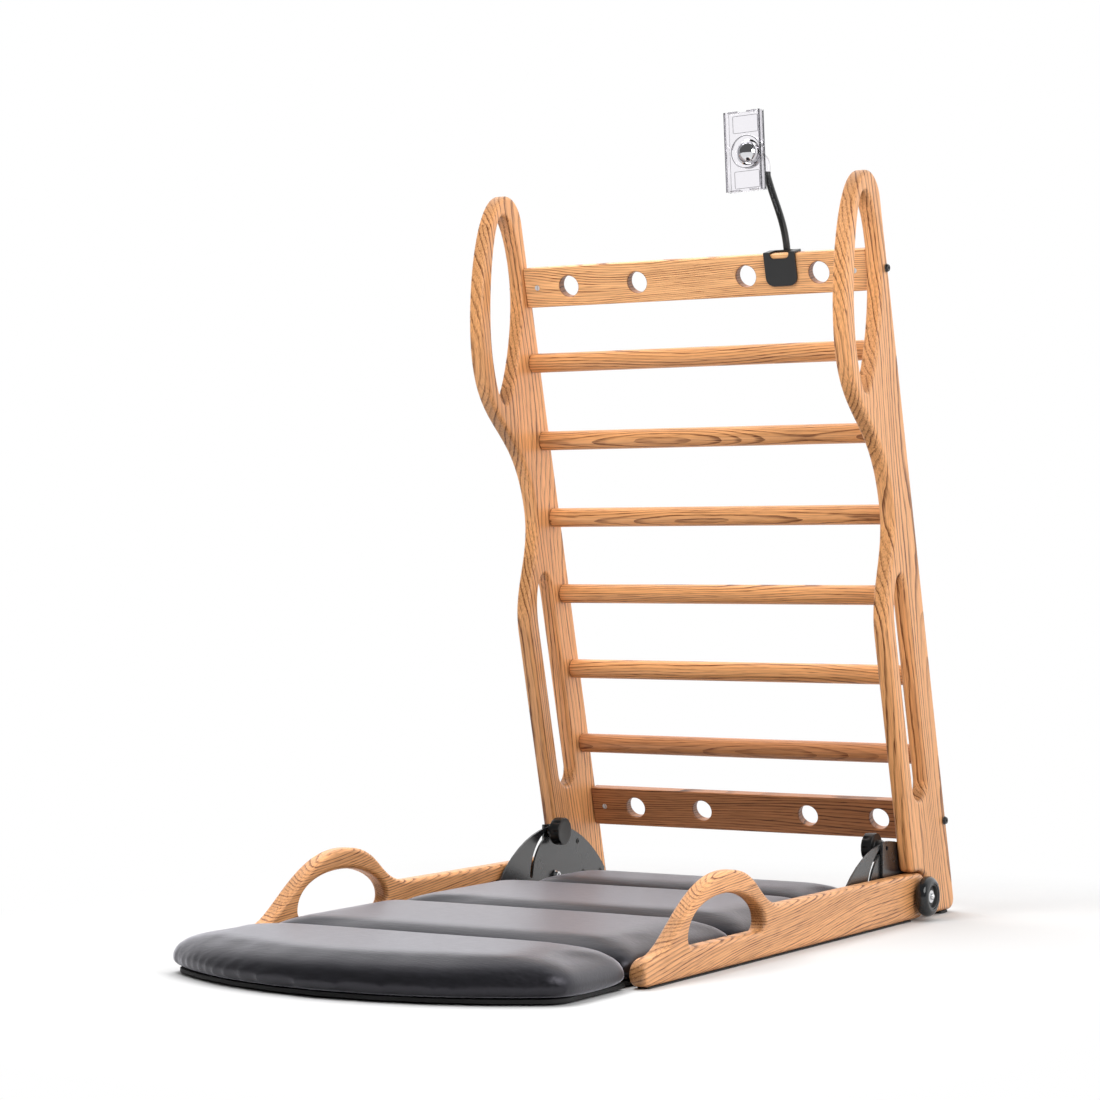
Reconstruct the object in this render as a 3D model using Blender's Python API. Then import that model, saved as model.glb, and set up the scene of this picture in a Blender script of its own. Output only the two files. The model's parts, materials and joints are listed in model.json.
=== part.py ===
"""Folding ladder trainer: two wooden uprights with rungs lean over a padded floor mat.

Metres, +Z up, +X to the right and -Y to the front, seen by someone standing at the mat's front end.
The machine frame has the fold pivot at y = 0 and the floor at z = 0. The ladder frame has its origin on the
fold pivot, its z axis up along the uprights and its y axis square to them, towards the back.
"""

import math

import bmesh
import bpy
from mathutils import Matrix, Vector
from mathutils.geometry import interpolate_bezier

# Clearances
SEAT = 0.0003
RUN = 0.0005
BORE_CLEAR = 0.0003
SWEEP_GAP = 0.0025

# Ladder lean and layout
LEAN = math.radians(14.65)
INNER_WIDTH = 0.680
WOOD_T = 0.0286
EDGE_R = 0.008
RUNG_COUNT = 6
RUNG_PITCH = 0.145
RUNG_R = 0.0175
RUNG_SOCKET = 0.014
RUNG_SETBACK = 0.0292
LOWEST_RUNG_UP = 0.1995

# Upright outline, heights along the upright from the pivot, widths from its back edge
PIVOT_TO_BACK = 0.2044
FOOT_WIDTH = 0.162
WAIST_UP = 0.664
WAIST_WIDTH = 0.0868
FLARE_LENGTH = 0.214
GRIP_WIDTH = 0.1955
GRIP_LENGTH = 0.281
HORN = 0.1725
TIP_SETBACK = 0.046
TIP_DROP = 0.055
HEEL_R = 0.018
LEG_R = 0.010

# Grip loop and long slot in each upright
FRONT_LIMB = 0.0368
REAR_LIMB = 0.0315
TOP_LIMB = 0.034
GRIP_TAIL = 0.080
TAIL_WIDTH = 0.138
LOOP_TOP_WIDTH = 0.066
SLOT_REAR_LIMB = 0.068
SLOT_FRONT_LIMB = 0.037
SLOT_LOW_UP = 0.1395
SLOT_TOP_DROP = 0.123
SLOT_TOP_WIDTH = 0.086

# Boards across the ladder
BOARD_H = 0.072
BOARD_T = 0.020
BOARD_INSET = 0.0035
BOARD_EDGE_R = 0.003
TOP_BOARD_GAP = 0.137
BOTTOM_BOARD_GAP = 0.127
BOARD_HOLE_R = 0.019
BOARD_HOLES_X = (0.108, 0.248)

# Knock-down bolts of the boards
BOLT_R = 0.003
BOLT_HEAD_R = 0.0075
BOLT_HEAD_H = 0.004
NUT_R = 0.005
NUT_IN = 0.026
NUT_SHY = 0.0015
BOLT_PAST_NUT = 0.004

# Rails, heights from the floor and lengths forward of the pivot
PIVOT_UP = 0.047
STRIP_T = 0.003
RAIL_H = 0.0785
AXLE_BACK = 0.059
NOSE_REACH = 0.941
NOSE_TOP = 0.0445
NOSE_R = 0.0205
NOSE_LENGTH = 0.031
HOOP_TOP = 0.150
HOOP_BAR = 0.0335
HOOP_SILL = 0.046
HOOP_FRONT = 0.136
HOOP_REAR = 0.119
HOOP_RUN_OUT = 0.194
STRIP_SHY = 0.004
STRIP_END = 0.025

# Mat
BASE_LIFT = 0.003
BASE_T = 0.006
MAT_SIDE_GAP = 0.011
MAT_FRONT = 1.2346
MAT_BOW_R = 0.59
MAT_FRONT_STEPS = 8
MAT_CORNER_R = 0.052
MAT_REAR = 0.020
NOSE_GAP = 0.004
TAB_FRONT = 0.90
TAB_REAR = 0.30
TAB_H = 0.030
TAB_LEG_T = 0.005
RUNNER_X = 0.20
RUNNER_W = 0.040
RUNNER_SHY = 0.110
PAD_SIDE_GAP = 0.007
REAR_PAD_SIDE_GAP = 0.051
FRONT_PAD_PROUD = 0.010
PAD_H = 0.0565
PAD_CORNER_R = 0.030
PAD_GAP = 0.0015
PAD_OVERHANG = 0.012
SEAMS = (0.931, 0.571, 0.211)
PAD_REAR = 0.005
PAD_SIDE_ROLL = 0.080
FRONT_PAD_SIDE_ROLL = 0.110
PAD_END_ROLL = 0.055

# Hinge plates
PLATE_T = 0.004
SLOT_ARCH = (0.005, -0.180, 0.272)
SWING_ARCH = (-0.025, -0.204, 0.299)
PLATE_BOTTOM = -0.030
PLATE_CORNER_R = 0.008
SLOT_PLATE_FRONT = -0.206
SLOT_PLATE_REAR = 0.026
SWING_PLATE_FRONT = -0.032
SWING_PLATE_REAR = 0.195
STAND_OFF = ((-0.196, -0.026), (-0.108, 0.008))
PIVOT_BOLT_R = 0.006
PIVOT_HEAD_R = 0.0095
PIVOT_HEAD_H = 0.006
PIVOT_DEPTH = 0.018
SCREW_R = 0.0025
SCREW_HEAD_R = 0.005
SCREW_HEAD_H = 0.0025
SCREW_DEPTH = 0.018
SLOT_SCREWS = ((-0.119, -0.003), (-0.178, -0.012))
SWING_SCREWS = ((0.092, 0.055), (0.114, -0.004), (0.178, -0.007))

# Clamp knobs
CLAMP_R = 0.084
CLAMP_ANGLE = math.radians(100.0)
STUD_R = 0.004
CLAMP_SLOT_CLEAR = 0.0012
KNOB_R = 0.025
KNOB_GRIP_L = 0.020
KNOB_BOSS_R = 0.013
KNOB_BOSS_L = 0.010
KNOB_LOBES = 8
KNOB_FLUTE = 0.002

# Wheels
WHEEL_R = 0.035
WHEEL_W = 0.024
WHEEL_GAP = 0.0035
HUB_R = 0.022
BEARING_R = 0.011
BEARING_W = 0.014
AXLE_R = 0.004
AXLE_COLLAR_R = 0.0065
AXLE_HEAD_R = 0.0065
AXLE_HEAD_H = 0.005
AXLE_DEPTH = 0.022

# Feet under the uprights
FOOT_H = 0.005
FOOT_SHY = 0.004
FOOT_SET = 0.053
FOOT_L = 0.032

# Phone holder
CLIP_X = 0.178
CLIP_W = 0.060
CLIP_T = 0.0035
CLIP_DROP = 0.056
CLIP_BACK_DROP = 0.040
CLIP_CORNER_R = 0.015
CLIP_WINDOW_W = 0.036
CLIP_WINDOW_H = 0.008
NECK_R = 0.0062
NECK_SOCKET_R = 0.0092
NECK_SOCKET_L = 0.026
NECK_RISE = 0.138
NECK_LEFT = 0.040
NECK_BACK = 0.004
ARM_R = 0.0058
BALL_R = 0.022
BALL_FROM_NECK = (-0.004, -0.060, 0.027)
CRADLE_W = 0.0665
CRADLE_H = 0.138
CRADLE_T = 0.003
CRADLE_SET = 0.012
CRADLE_RIM_T = 0.0026
CRADLE_RIM_D = 0.014
CRADLE_LIP = 0.012
CRADLE_RING_R = 0.029
CRADLE_RING_D = 0.012
CRADLE_MOUTH_R = 0.0185
CRADLE_ROLL = math.radians(-2.4)
CRADLE_CORNER_R = 0.004

# Sizes that follow from the ones above
INNER_X = INNER_WIDTH / 2
OUTER_X = INNER_X + WOOD_T
MAT_HALF = INNER_X - MAT_SIDE_GAP
PAD_HALF = INNER_X - PAD_SIDE_GAP
REAR_PAD_HALF = INNER_X - REAR_PAD_SIDE_GAP
FRONT_PAD_HALF = INNER_X + FRONT_PAD_PROUD
RAIL_TOP = STRIP_T + RAIL_H
AXLE_UP = STRIP_T + RAIL_H / 2
TOP_RUNG_UP = LOWEST_RUNG_UP + (RUNG_COUNT - 1) * RUNG_PITCH
TOP_BOARD_UP = TOP_RUNG_UP + TOP_BOARD_GAP
BOTTOM_BOARD_UP = LOWEST_RUNG_UP - BOTTOM_BOARD_GAP
TIP_UP = TOP_BOARD_UP + HORN
GRIP_UP = TIP_UP - GRIP_LENGTH
BOARD_BACK = PIVOT_TO_BACK - BOARD_INSET
BOARD_MID = BOARD_BACK - BOARD_T / 2
BOARD_FRONT = BOARD_BACK - BOARD_T
SWING_OUT = INNER_X - SEAT
SWING_IN = SWING_OUT - PLATE_T
SLOT_OUT = SWING_IN - RUN
SLOT_IN = SLOT_OUT - PLATE_T
FOLD_RANGE = math.pi / 2 - LEAN
HOOP_REACH = WAIST_UP
SIDES = (("left", -1), ("right", 1))
CURVE_STEPS = 8
ROUND_SIDES = 16


# Outlines

def bezier(start, start_handle, end_handle, end, steps=CURVE_STEPS):
    """Points of one curve from start up to, but not including, end."""
    corners = [Vector((p[0], p[1], 0)) for p in (start, start_handle, end_handle, end)]
    points = interpolate_bezier(*corners, steps + 1)
    return [(p.x, p.y) for p in points[:-1]]


def arc(centre, radius, start_deg, end_deg, steps):
    """Points along an arc, both ends included."""
    points = []
    for i in range(steps + 1):
        angle = math.radians(start_deg + (end_deg - start_deg) * i / steps)
        points.append((centre[0] + radius * math.cos(angle), centre[1] + radius * math.sin(angle)))
    return points


def circle(centre, radius, steps):
    return arc(centre, radius, 0, 360, steps)[:-1]


def rounded(corners, steps=4):
    """Closed outline through corners (u, v, radius), each turned on its own radius."""
    outline = []
    count = len(corners)
    for i, (u, v, radius) in enumerate(corners):
        here = Vector((u, v))
        if radius == 0:
            outline.append((u, v))
            continue
        before = (Vector(corners[i - 1][:2]) - here).normalized()
        after = (Vector(corners[(i + 1) % count][:2]) - here).normalized()
        half = before.angle(after) / 2
        centre = here + (before + after).normalized() * (radius / math.sin(half))
        first = here + before * (radius / math.tan(half)) - centre
        last = here + after * (radius / math.tan(half)) - centre
        turn = math.atan2(first.cross(last), first.dot(last))
        for k in range(steps + 1):
            arm = Matrix.Rotation(turn * k / steps, 2) @ first
            outline.append((centre.x + arm.x, centre.y + arm.y))
    return outline


def rectangle(u0, u1, v0, v1, radius):
    return rounded([(u0, v0, radius), (u1, v0, radius), (u1, v1, radius), (u0, v1, radius)])


def area(outline):
    total = 0.0
    for (u0, v0), (u1, v1) in zip(outline, outline[1:] + outline[:1]):
        total += u0 * v1 - u1 * v0
    return total / 2


def inset(outline, distance):
    """The outline moved sideways, to the left of its direction, by a distance."""
    moved = []
    count = len(outline)
    for i in range(count):
        here = Vector(outline[i])
        into = (here - Vector(outline[i - 1])).normalized()
        out = (Vector(outline[(i + 1) % count]) - here).normalized()
        side = Vector((-into.y - out.y, into.x + out.x)).normalized()
        stretch = max(side.dot(Vector((-into.y, into.x))), 0.5)
        moved.append(tuple(here + side * distance / stretch))
    return moved


def to_ladder(y, z):
    """A point of the machine frame, measured from the pivot, in the ladder frame."""
    return (y * math.cos(LEAN) + z * math.sin(LEAN), z * math.cos(LEAN) - y * math.sin(LEAN))


# Solids

def add_ring(bm, points):
    return [bm.verts.new(p) for p in points]


def bridge(bm, ring_a, ring_b):
    count = len(ring_a)
    for i in range(count):
        j = (i + 1) % count
        bm.faces.new((ring_a[i], ring_a[j], ring_b[j], ring_b[i]))


def cap(bm, rings):
    edges = []
    for ring in rings:
        for i, vert in enumerate(ring):
            edges.append(bm.edges.get((vert, ring[(i + 1) % len(ring)])))
    bmesh.ops.triangle_fill(bm, edges=edges, use_beauty=True, use_dissolve=False)


def finish(bm):
    bmesh.ops.recalc_face_normals(bm, faces=bm.faces)
    return bm


PLANES = {
    "x": lambda t, u, v: (t, u, v),
    "y": lambda t, u, v: (u, t, v),
    "z": lambda t, u, v: (u, v, t),
}


def plate(axis, low, high, outline, holes=(), edge_r=0.0, steps=2):
    """A sheet between low and high along an axis, with its edges and its holes' edges rounded."""
    bm = bmesh.new()
    place = PLANES[axis]
    levels = [(low, 0.0), (high, 0.0)]
    if edge_r > 0:
        levels = []
        for k in range(steps + 1):
            angle = math.pi / 2 * (1 - k / steps)
            levels.append((low + edge_r * (1 - math.sin(angle)), edge_r * (1 - math.cos(angle))))
        levels += [(low + high - t, d) for t, d in reversed(levels)]
    firsts = []
    lasts = []
    for index, loop in enumerate((outline, *holes)):
        wanted = 1 if index == 0 else -1
        if area(loop) * wanted < 0:
            loop = list(reversed(loop))
        rings = []
        for t, d in levels:
            shape = inset(loop, d) if d else loop
            rings.append(add_ring(bm, [place(t, u, v) for u, v in shape]))
        for ring_a, ring_b in zip(rings, rings[1:]):
            bridge(bm, ring_a, ring_b)
        firsts.append(rings[0])
        lasts.append(rings[-1])
    cap(bm, firsts)
    cap(bm, lasts)
    return finish(bm)


def lathe(profile, sides, closed=False, reach=None):
    """A solid turned about X from (x, r) points, from pole to pole or as a closed ring.

    reach(radius, angle) may change the radius round the turn.
    """
    bm = bmesh.new()
    rings = []
    for x, r in profile:
        if r == 0:
            rings.append([bm.verts.new((x, 0, 0))])
            continue
        ring = []
        for i in range(sides):
            angle = 2 * math.pi * i / sides
            radius = reach(r, angle) if reach else r
            ring.append(bm.verts.new((x, radius * math.cos(angle), radius * math.sin(angle))))
        rings.append(ring)
    pairs = list(zip(rings, rings[1:]))
    if closed:
        pairs.append((rings[-1], rings[0]))
    for ring_a, ring_b in pairs:
        if len(ring_a) == 1:
            for i in range(sides):
                bm.faces.new((ring_a[0], ring_b[i], ring_b[(i + 1) % sides]))
        elif len(ring_b) == 1:
            for i in range(sides):
                bm.faces.new((ring_a[i], ring_a[(i + 1) % sides], ring_b[0]))
        else:
            bridge(bm, ring_a, ring_b)
    return finish(bm)


def rod(x0, x1, radius, sides):
    return lathe([(x0, 0), (x0, radius), (x1, radius), (x1, 0)], sides)


def block(x0, x1, y0, y1, z0, z1):
    return plate("z", z0, z1, [(x0, y0), (x1, y0), (x1, y1), (x0, y1)])


def moved(bm, matrix):
    bmesh.ops.transform(bm, matrix=matrix, verts=bm.verts)
    if matrix.determinant() < 0:
        bmesh.ops.reverse_faces(bm, faces=bm.faces)
    return bm


def shifted(bm, x, y, z):
    return moved(bm, Matrix.Translation((x, y, z)))


def sided(bm, side):
    """A solid made for the right side, mirrored for the left."""
    return moved(bm, Matrix.Diagonal((side, 1, 1, 1)))


# Objects

TURN_TO_Y = Matrix.Rotation(math.pi / 2, 4, "Z")
TURN_TO_Z = Matrix.Rotation(-math.pi / 2, 4, "Y")


def clear_scene():
    for obj in list(bpy.data.objects):
        bpy.data.objects.remove(obj, do_unlink=True)


def finish_material(name, colour, roughness, metallic=0.0):
    made = bpy.data.materials.new(name)
    made.use_nodes = True
    shader = made.node_tree.nodes["Principled BSDF"]
    shader.inputs["Base Color"].default_value = (*colour, 1)
    shader.inputs["Roughness"].default_value = roughness
    shader.inputs["Metallic"].default_value = metallic
    made.diffuse_color = (*colour, 1)
    return made


def empty(name, parent, location, rotation=(0, 0, 0)):
    made = bpy.data.objects.new(name, None)
    bpy.context.scene.collection.objects.link(made)
    made.parent = parent
    made.location = location
    made.rotation_euler = rotation
    return made


def mesh_object(name, bm, parent, finish_look, location=(0, 0, 0)):
    mesh = bpy.data.meshes.new(name)
    bm.to_mesh(mesh)
    bm.free()
    mesh.shade_smooth()
    mesh.set_sharp_from_angle(angle=math.radians(35))
    made = bpy.data.objects.new(name, mesh)
    bpy.context.scene.collection.objects.link(made)
    made.parent = parent
    made.location = location
    if finish_look:
        mesh.materials.append(finish_look)
    return made


def combine(obj, tools, operation):
    """Cut tools out of an object, or join them to it; tools of one call don't touch each other."""
    joined = bmesh.new()
    for bm in tools:
        piece = bpy.data.meshes.new("tool")
        bm.to_mesh(piece)
        bm.free()
        joined.from_mesh(piece)
        bpy.data.meshes.remove(piece)
    tool = mesh_object(obj.name + "_tool", joined, obj.parent, None, obj.location)
    tool.hide_render = True
    tool.display_type = "WIRE"
    step = obj.modifiers.new(operation.lower(), "BOOLEAN")
    step.operation = operation
    step.solver = "EXACT"
    step.object = tool


# Fasteners, pointing along +X from their seat, with the head on the -X side

def screw(length, radius, head_r, head_h, sides=10):
    """Button-headed screw: the head stands before x = 0, the shank runs to x = length."""
    return lathe([(-head_h, 0), (-head_h, head_r * 0.55), (-head_h * 0.6, head_r * 0.9), (0, head_r),
                  (0, radius), (length, radius), (length, 0)], sides)


def flush_screw(length, radius, head_r, head_h, grow=0.0, sides=10):
    """Countersunk screw with its flat head at x = 0; grow gives the hole it sits in."""
    start = -grow * 4
    return lathe([(start, 0), (start, head_r + grow), (0, head_r + grow), (head_h, radius + grow),
                  (length + grow, radius + grow), (length + grow, 0)], sides)


# Wooden uprights

def widths_to_y(points):
    """Points (up, width from the back edge) as ladder-frame (y, z)."""
    return [(PIVOT_TO_BACK - width, up) for up, width in points]


def upright_outline():
    flare_up = WAIST_UP - FLARE_LENGTH
    flare = FLARE_LENGTH * 0.42
    swell = GRIP_UP - WAIST_UP
    front = []
    front += bezier((TIP_UP - TIP_DROP, 0), (TIP_UP - TIP_DROP * 0.45, 0),
                    (TIP_UP, TIP_SETBACK * 0.45), (TIP_UP, TIP_SETBACK), 5)
    front += bezier((TIP_UP, TIP_SETBACK), (TIP_UP, TIP_SETBACK + (GRIP_WIDTH - TIP_SETBACK) * 0.5),
                    (GRIP_UP + GRIP_LENGTH * 0.35, GRIP_WIDTH), (GRIP_UP, GRIP_WIDTH), 9)
    front += bezier((GRIP_UP, GRIP_WIDTH), (GRIP_UP - swell * 0.437, GRIP_WIDTH),
                    (WAIST_UP + swell * 0.53, WAIST_WIDTH), (WAIST_UP, WAIST_WIDTH), 9)
    front += bezier((WAIST_UP, WAIST_WIDTH), (WAIST_UP - flare, WAIST_WIDTH),
                    (flare_up + flare, FOOT_WIDTH), (flare_up, FOOT_WIDTH), 8)
    outline = widths_to_y(front + [(flare_up, FOOT_WIDTH)])
    notch_top = RAIL_TOP + SWEEP_GAP - PIVOT_UP
    notch_r = RAIL_H / 2 + SWEEP_GAP
    axle = (AXLE_BACK, AXLE_UP - PIVOT_UP)
    bottom = FOOT_H - PIVOT_UP
    front_edge = PIVOT_TO_BACK - FOOT_WIDTH
    toe_up = (notch_top - front_edge * math.sin(LEAN)) / math.cos(LEAN)
    toe = front_edge * math.cos(LEAN) - toe_up * math.sin(LEAN)
    heel_up = (bottom - PIVOT_TO_BACK * math.sin(LEAN)) / math.cos(LEAN)
    heel = PIVOT_TO_BACK * math.cos(LEAN) - heel_up * math.sin(LEAN)
    notch = [(y, z, 0) for y, z in arc(axle, notch_r, 90, 0, 8)]
    leg = [(axle[0] + notch_r, bottom, LEG_R), (heel, bottom, HEEL_R)]
    above_toe = (toe - math.tan(LEAN) * notch_r, notch_top + notch_r, 0)
    above_heel = (heel - math.tan(LEAN) * notch_r, bottom + notch_r, 0)
    lower = rounded([above_toe, (toe, notch_top, LEG_R), *notch, *leg, above_heel])
    return outline + [to_ladder(y, z) for y, z in lower]


def grip_loop():
    top = TIP_UP - TOP_LIMB
    tail = GRIP_UP - GRIP_TAIL
    front = GRIP_WIDTH - FRONT_LIMB
    rear_up = GRIP_UP + GRIP_LENGTH * 0.523
    loop = []
    loop += bezier((top, LOOP_TOP_WIDTH), (top, LOOP_TOP_WIDTH + 0.030),
                   (GRIP_UP + GRIP_LENGTH * 0.335, front), (GRIP_UP, front))
    loop += bezier((GRIP_UP, front), (GRIP_UP - GRIP_TAIL * 0.45, front),
                   (tail, front - 0.004), (tail, TAIL_WIDTH), 5)
    loop += bezier((tail, TAIL_WIDTH), (tail, TAIL_WIDTH - 0.020),
                   (rear_up - GRIP_LENGTH * 0.39, REAR_LIMB), (rear_up, REAR_LIMB))
    loop += bezier((rear_up, REAR_LIMB), (rear_up + (top - rear_up) * 0.6, REAR_LIMB),
                   (top, LOOP_TOP_WIDTH - 0.021), (top, LOOP_TOP_WIDTH), 6)
    return widths_to_y(loop)


def long_slot():
    rear = SLOT_REAR_LIMB
    front = FOOT_WIDTH - SLOT_FRONT_LIMB
    radius = (front - rear) / 2
    top = WAIST_UP - SLOT_TOP_DROP
    flare_up = WAIST_UP - FLARE_LENGTH
    loop = arc((SLOT_LOW_UP + radius, rear + radius), radius, 270, 90, 10)
    loop += bezier((flare_up, front), (flare_up + (top - flare_up) * 0.6, front),
                   (top, SLOT_TOP_WIDTH + 0.019), (top, SLOT_TOP_WIDTH), 6)
    loop += bezier((top, SLOT_TOP_WIDTH), (top, SLOT_TOP_WIDTH - 0.012),
                   (top - 0.021, rear), (top - 0.051, rear), 4)
    loop += [(top - 0.051, rear)]
    return widths_to_y(loop)


def make_uprights(ladder, wood):
    outline = upright_outline()
    holes = [grip_loop(), long_slot()]
    rung_y = PIVOT_TO_BACK - RUNG_SETBACK
    for name, side in SIDES:
        solid = plate("x", INNER_X, OUTER_X, outline, holes, EDGE_R)
        upright = mesh_object("upright_" + name, sided(solid, side), ladder, wood)
        cuts = []
        for k in range(RUNG_COUNT):
            socket = rod(INNER_X - RUNG_SOCKET, INNER_X + RUNG_SOCKET, RUNG_R + BORE_CLEAR, ROUND_SIDES)
            cuts.append(shifted(socket, 0, rung_y, LOWEST_RUNG_UP + k * RUNG_PITCH))
        for up in (TOP_BOARD_UP, BOTTOM_BOARD_UP):
            bore = rod(INNER_X - WOOD_T, OUTER_X + WOOD_T, BOLT_R + BORE_CLEAR, 10)
            cuts.append(shifted(bore, 0, BOARD_MID, up))
        for spot in SWING_SCREWS:
            y, z = to_ladder(*spot)
            pilot = rod(INNER_X - SCREW_R, SWING_IN + SCREW_DEPTH + BORE_CLEAR, SCREW_R + BORE_CLEAR, 10)
            cuts.append(shifted(pilot, 0, y, z))
        combine(upright, [sided(bm, side) for bm in cuts], "DIFFERENCE")


def make_rungs(ladder, wood):
    reach = INNER_X + RUNG_SOCKET - SEAT
    for k in range(RUNG_COUNT):
        up = LOWEST_RUNG_UP + (RUNG_COUNT - 1 - k) * RUNG_PITCH
        solid = shifted(rod(-reach, reach, RUNG_R, ROUND_SIDES), 0, PIVOT_TO_BACK - RUNG_SETBACK, up)
        mesh_object("rung_%d" % (k + 1), solid, ladder, wood)


def make_boards(ladder, wood, steel, black):
    half = INNER_X - SEAT
    nut_x = INNER_X - NUT_IN
    for name, up in (("top", TOP_BOARD_UP), ("bottom", BOTTOM_BOARD_UP)):
        outline = rectangle(-half, half, up - BOARD_H / 2, up + BOARD_H / 2, BOARD_EDGE_R * 1.5)
        holes = []
        for x in BOARD_HOLES_X:
            holes += [circle((x, up), BOARD_HOLE_R, ROUND_SIDES), circle((-x, up), BOARD_HOLE_R, ROUND_SIDES)]
        solid = plate("y", BOARD_FRONT, BOARD_BACK, outline, holes, BOARD_EDGE_R, 1)
        board = mesh_object(name + "_board", solid, ladder, wood)
        bores = []
        wells = []
        for end, side in SIDES:
            tip = nut_x - NUT_R - BOLT_PAST_NUT
            bore = rod(tip - SEAT, INNER_X + WOOD_T, BOLT_R + BORE_CLEAR, 10)
            bores.append(sided(shifted(bore, 0, BOARD_MID, up), side))
            well = moved(rod(-BOARD_T, BOARD_T / 2 - NUT_SHY, NUT_R + BORE_CLEAR, 12), TURN_TO_Y)
            wells.append(shifted(well, side * nut_x, BOARD_MID, up))
            nut_half = BOARD_T / 2 - NUT_SHY - SEAT
            nut = moved(rod(-nut_half, nut_half, NUT_R, 12), TURN_TO_Y)
            nut = mesh_object("barrel_nut_%s_%s" % (name, end), shifted(nut, side * nut_x, BOARD_MID, up),
                              ladder, steel)
            thread = rod(-2 * NUT_R, 2 * NUT_R, BOLT_R + BORE_CLEAR, 10)
            combine(nut, [shifted(thread, side * nut_x, BOARD_MID, up)], "DIFFERENCE")
            seat = OUTER_X + SEAT
            bolt = screw(seat - tip, BOLT_R, BOLT_HEAD_R, BOLT_HEAD_H, 14)
            bolt = moved(bolt, Matrix.Diagonal((-1, 1, 1, 1)))
            bolt = sided(shifted(bolt, seat, BOARD_MID, up), side)
            mesh_object("board_bolt_%s_%s" % (name, end), bolt, ladder, black)
        combine(board, bores, "DIFFERENCE")
        combine(board, wells, "DIFFERENCE")


def make_feet(ladder, rubber):
    for name, side in SIDES:
        start = AXLE_BACK + RAIL_H / 2 + SWEEP_GAP + LEG_R + FOOT_SET
        outline = rectangle(INNER_X + FOOT_SHY, OUTER_X - FOOT_SHY, start, start + FOOT_L, FOOT_SHY)
        solid = plate("z", -PIVOT_UP, FOOT_H - SEAT - PIVOT_UP, outline)
        solid = moved(solid, Matrix.Rotation(-LEAN, 4, "X"))
        mesh_object("foot_" + name, sided(solid, side), ladder, rubber)


# Rails

def rail_outline():
    crest = -HOOP_REACH
    nose_start = -NOSE_REACH + NOSE_LENGTH
    front_run = crest - nose_start
    outline = arc((AXLE_BACK, AXLE_UP), RAIL_H / 2, 90, -90, 14)
    bottom_front = -NOSE_REACH + NOSE_R
    outline += bezier((bottom_front, STRIP_T), (bottom_front - NOSE_R * 0.6, STRIP_T),
                      (-NOSE_REACH, STRIP_T + 0.007), (-NOSE_REACH, STRIP_T + 0.018), 4)
    outline += bezier((-NOSE_REACH, STRIP_T + 0.018), (-NOSE_REACH, NOSE_TOP - 0.009),
                      (nose_start - NOSE_LENGTH * 0.6, NOSE_TOP), (nose_start, NOSE_TOP), 5)
    outline += bezier((nose_start, NOSE_TOP), (nose_start + front_run * 0.25, NOSE_TOP),
                      (crest - front_run * 0.51, HOOP_TOP), (crest, HOOP_TOP), 12)
    end = crest + HOOP_RUN_OUT
    outline += bezier((crest, HOOP_TOP), (crest + HOOP_RUN_OUT * 0.58, HOOP_TOP),
                      (end - HOOP_RUN_OUT * 0.50, RAIL_TOP), (end, RAIL_TOP), 12)
    outline += [(end, RAIL_TOP)]
    return outline


def hoop_opening():
    crest = -HOOP_REACH - 0.012
    top = HOOP_TOP - HOOP_BAR
    front = -HOOP_REACH - HOOP_FRONT
    rear = -HOOP_REACH + HOOP_REAR
    shoulder = HOOP_SILL + 0.015
    loop = []
    loop += bezier((front, shoulder), (front, shoulder + (top - shoulder) * 0.6),
                   (crest - (crest - front) * 0.56, top), (crest, top), 7)
    loop += bezier((crest, top), (crest + (rear - crest) * 0.5, top),
                   (rear, shoulder + (top - shoulder) * 0.55), (rear, shoulder), 7)
    loop += bezier((rear, shoulder), (rear, HOOP_SILL + 0.006),
                   (rear - 0.008, HOOP_SILL), (rear - 0.015, HOOP_SILL), 3)
    loop += [(rear - 0.015, HOOP_SILL)]
    loop += bezier((front + 0.015, HOOP_SILL), (front + 0.008, HOOP_SILL),
                   (front, HOOP_SILL + 0.006), (front, shoulder), 3)
    return loop


def make_rails(machine, wood, rubber):
    outline = rail_outline()
    hoop = hoop_opening()
    for name, side in SIDES:
        solid = plate("x", INNER_X, OUTER_X, outline, [hoop], EDGE_R)
        rail = mesh_object("rail_" + name, sided(solid, side), machine, wood)
        cuts = []
        axle = rod(OUTER_X - AXLE_DEPTH - SEAT, OUTER_X + WOOD_T, AXLE_R + BORE_CLEAR, 12)
        cuts.append(shifted(axle, 0, AXLE_BACK, AXLE_UP))
        pivot = rod(INNER_X - WOOD_T, INNER_X + PIVOT_DEPTH + SEAT, PIVOT_BOLT_R + BORE_CLEAR, 14)
        cuts.append(shifted(pivot, 0, 0, PIVOT_UP))
        for y, z in SLOT_SCREWS:
            pilot = rod(INNER_X - WOOD_T, SLOT_IN + SCREW_DEPTH + SEAT, SCREW_R + BORE_CLEAR, 10)
            cuts.append(shifted(pilot, 0, y, PIVOT_UP + z))
        combine(rail, [sided(bm, side) for bm in cuts], "DIFFERENCE")
        strip = rectangle(INNER_X + STRIP_SHY, OUTER_X - STRIP_SHY, -NOSE_REACH + NOSE_R,
                          AXLE_BACK - STRIP_END, STRIP_SHY)
        solid = plate("z", 0, STRIP_T - SEAT, strip)
        mesh_object("rail_strip_" + name, sided(solid, side), machine, rubber)


# Mat

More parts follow.
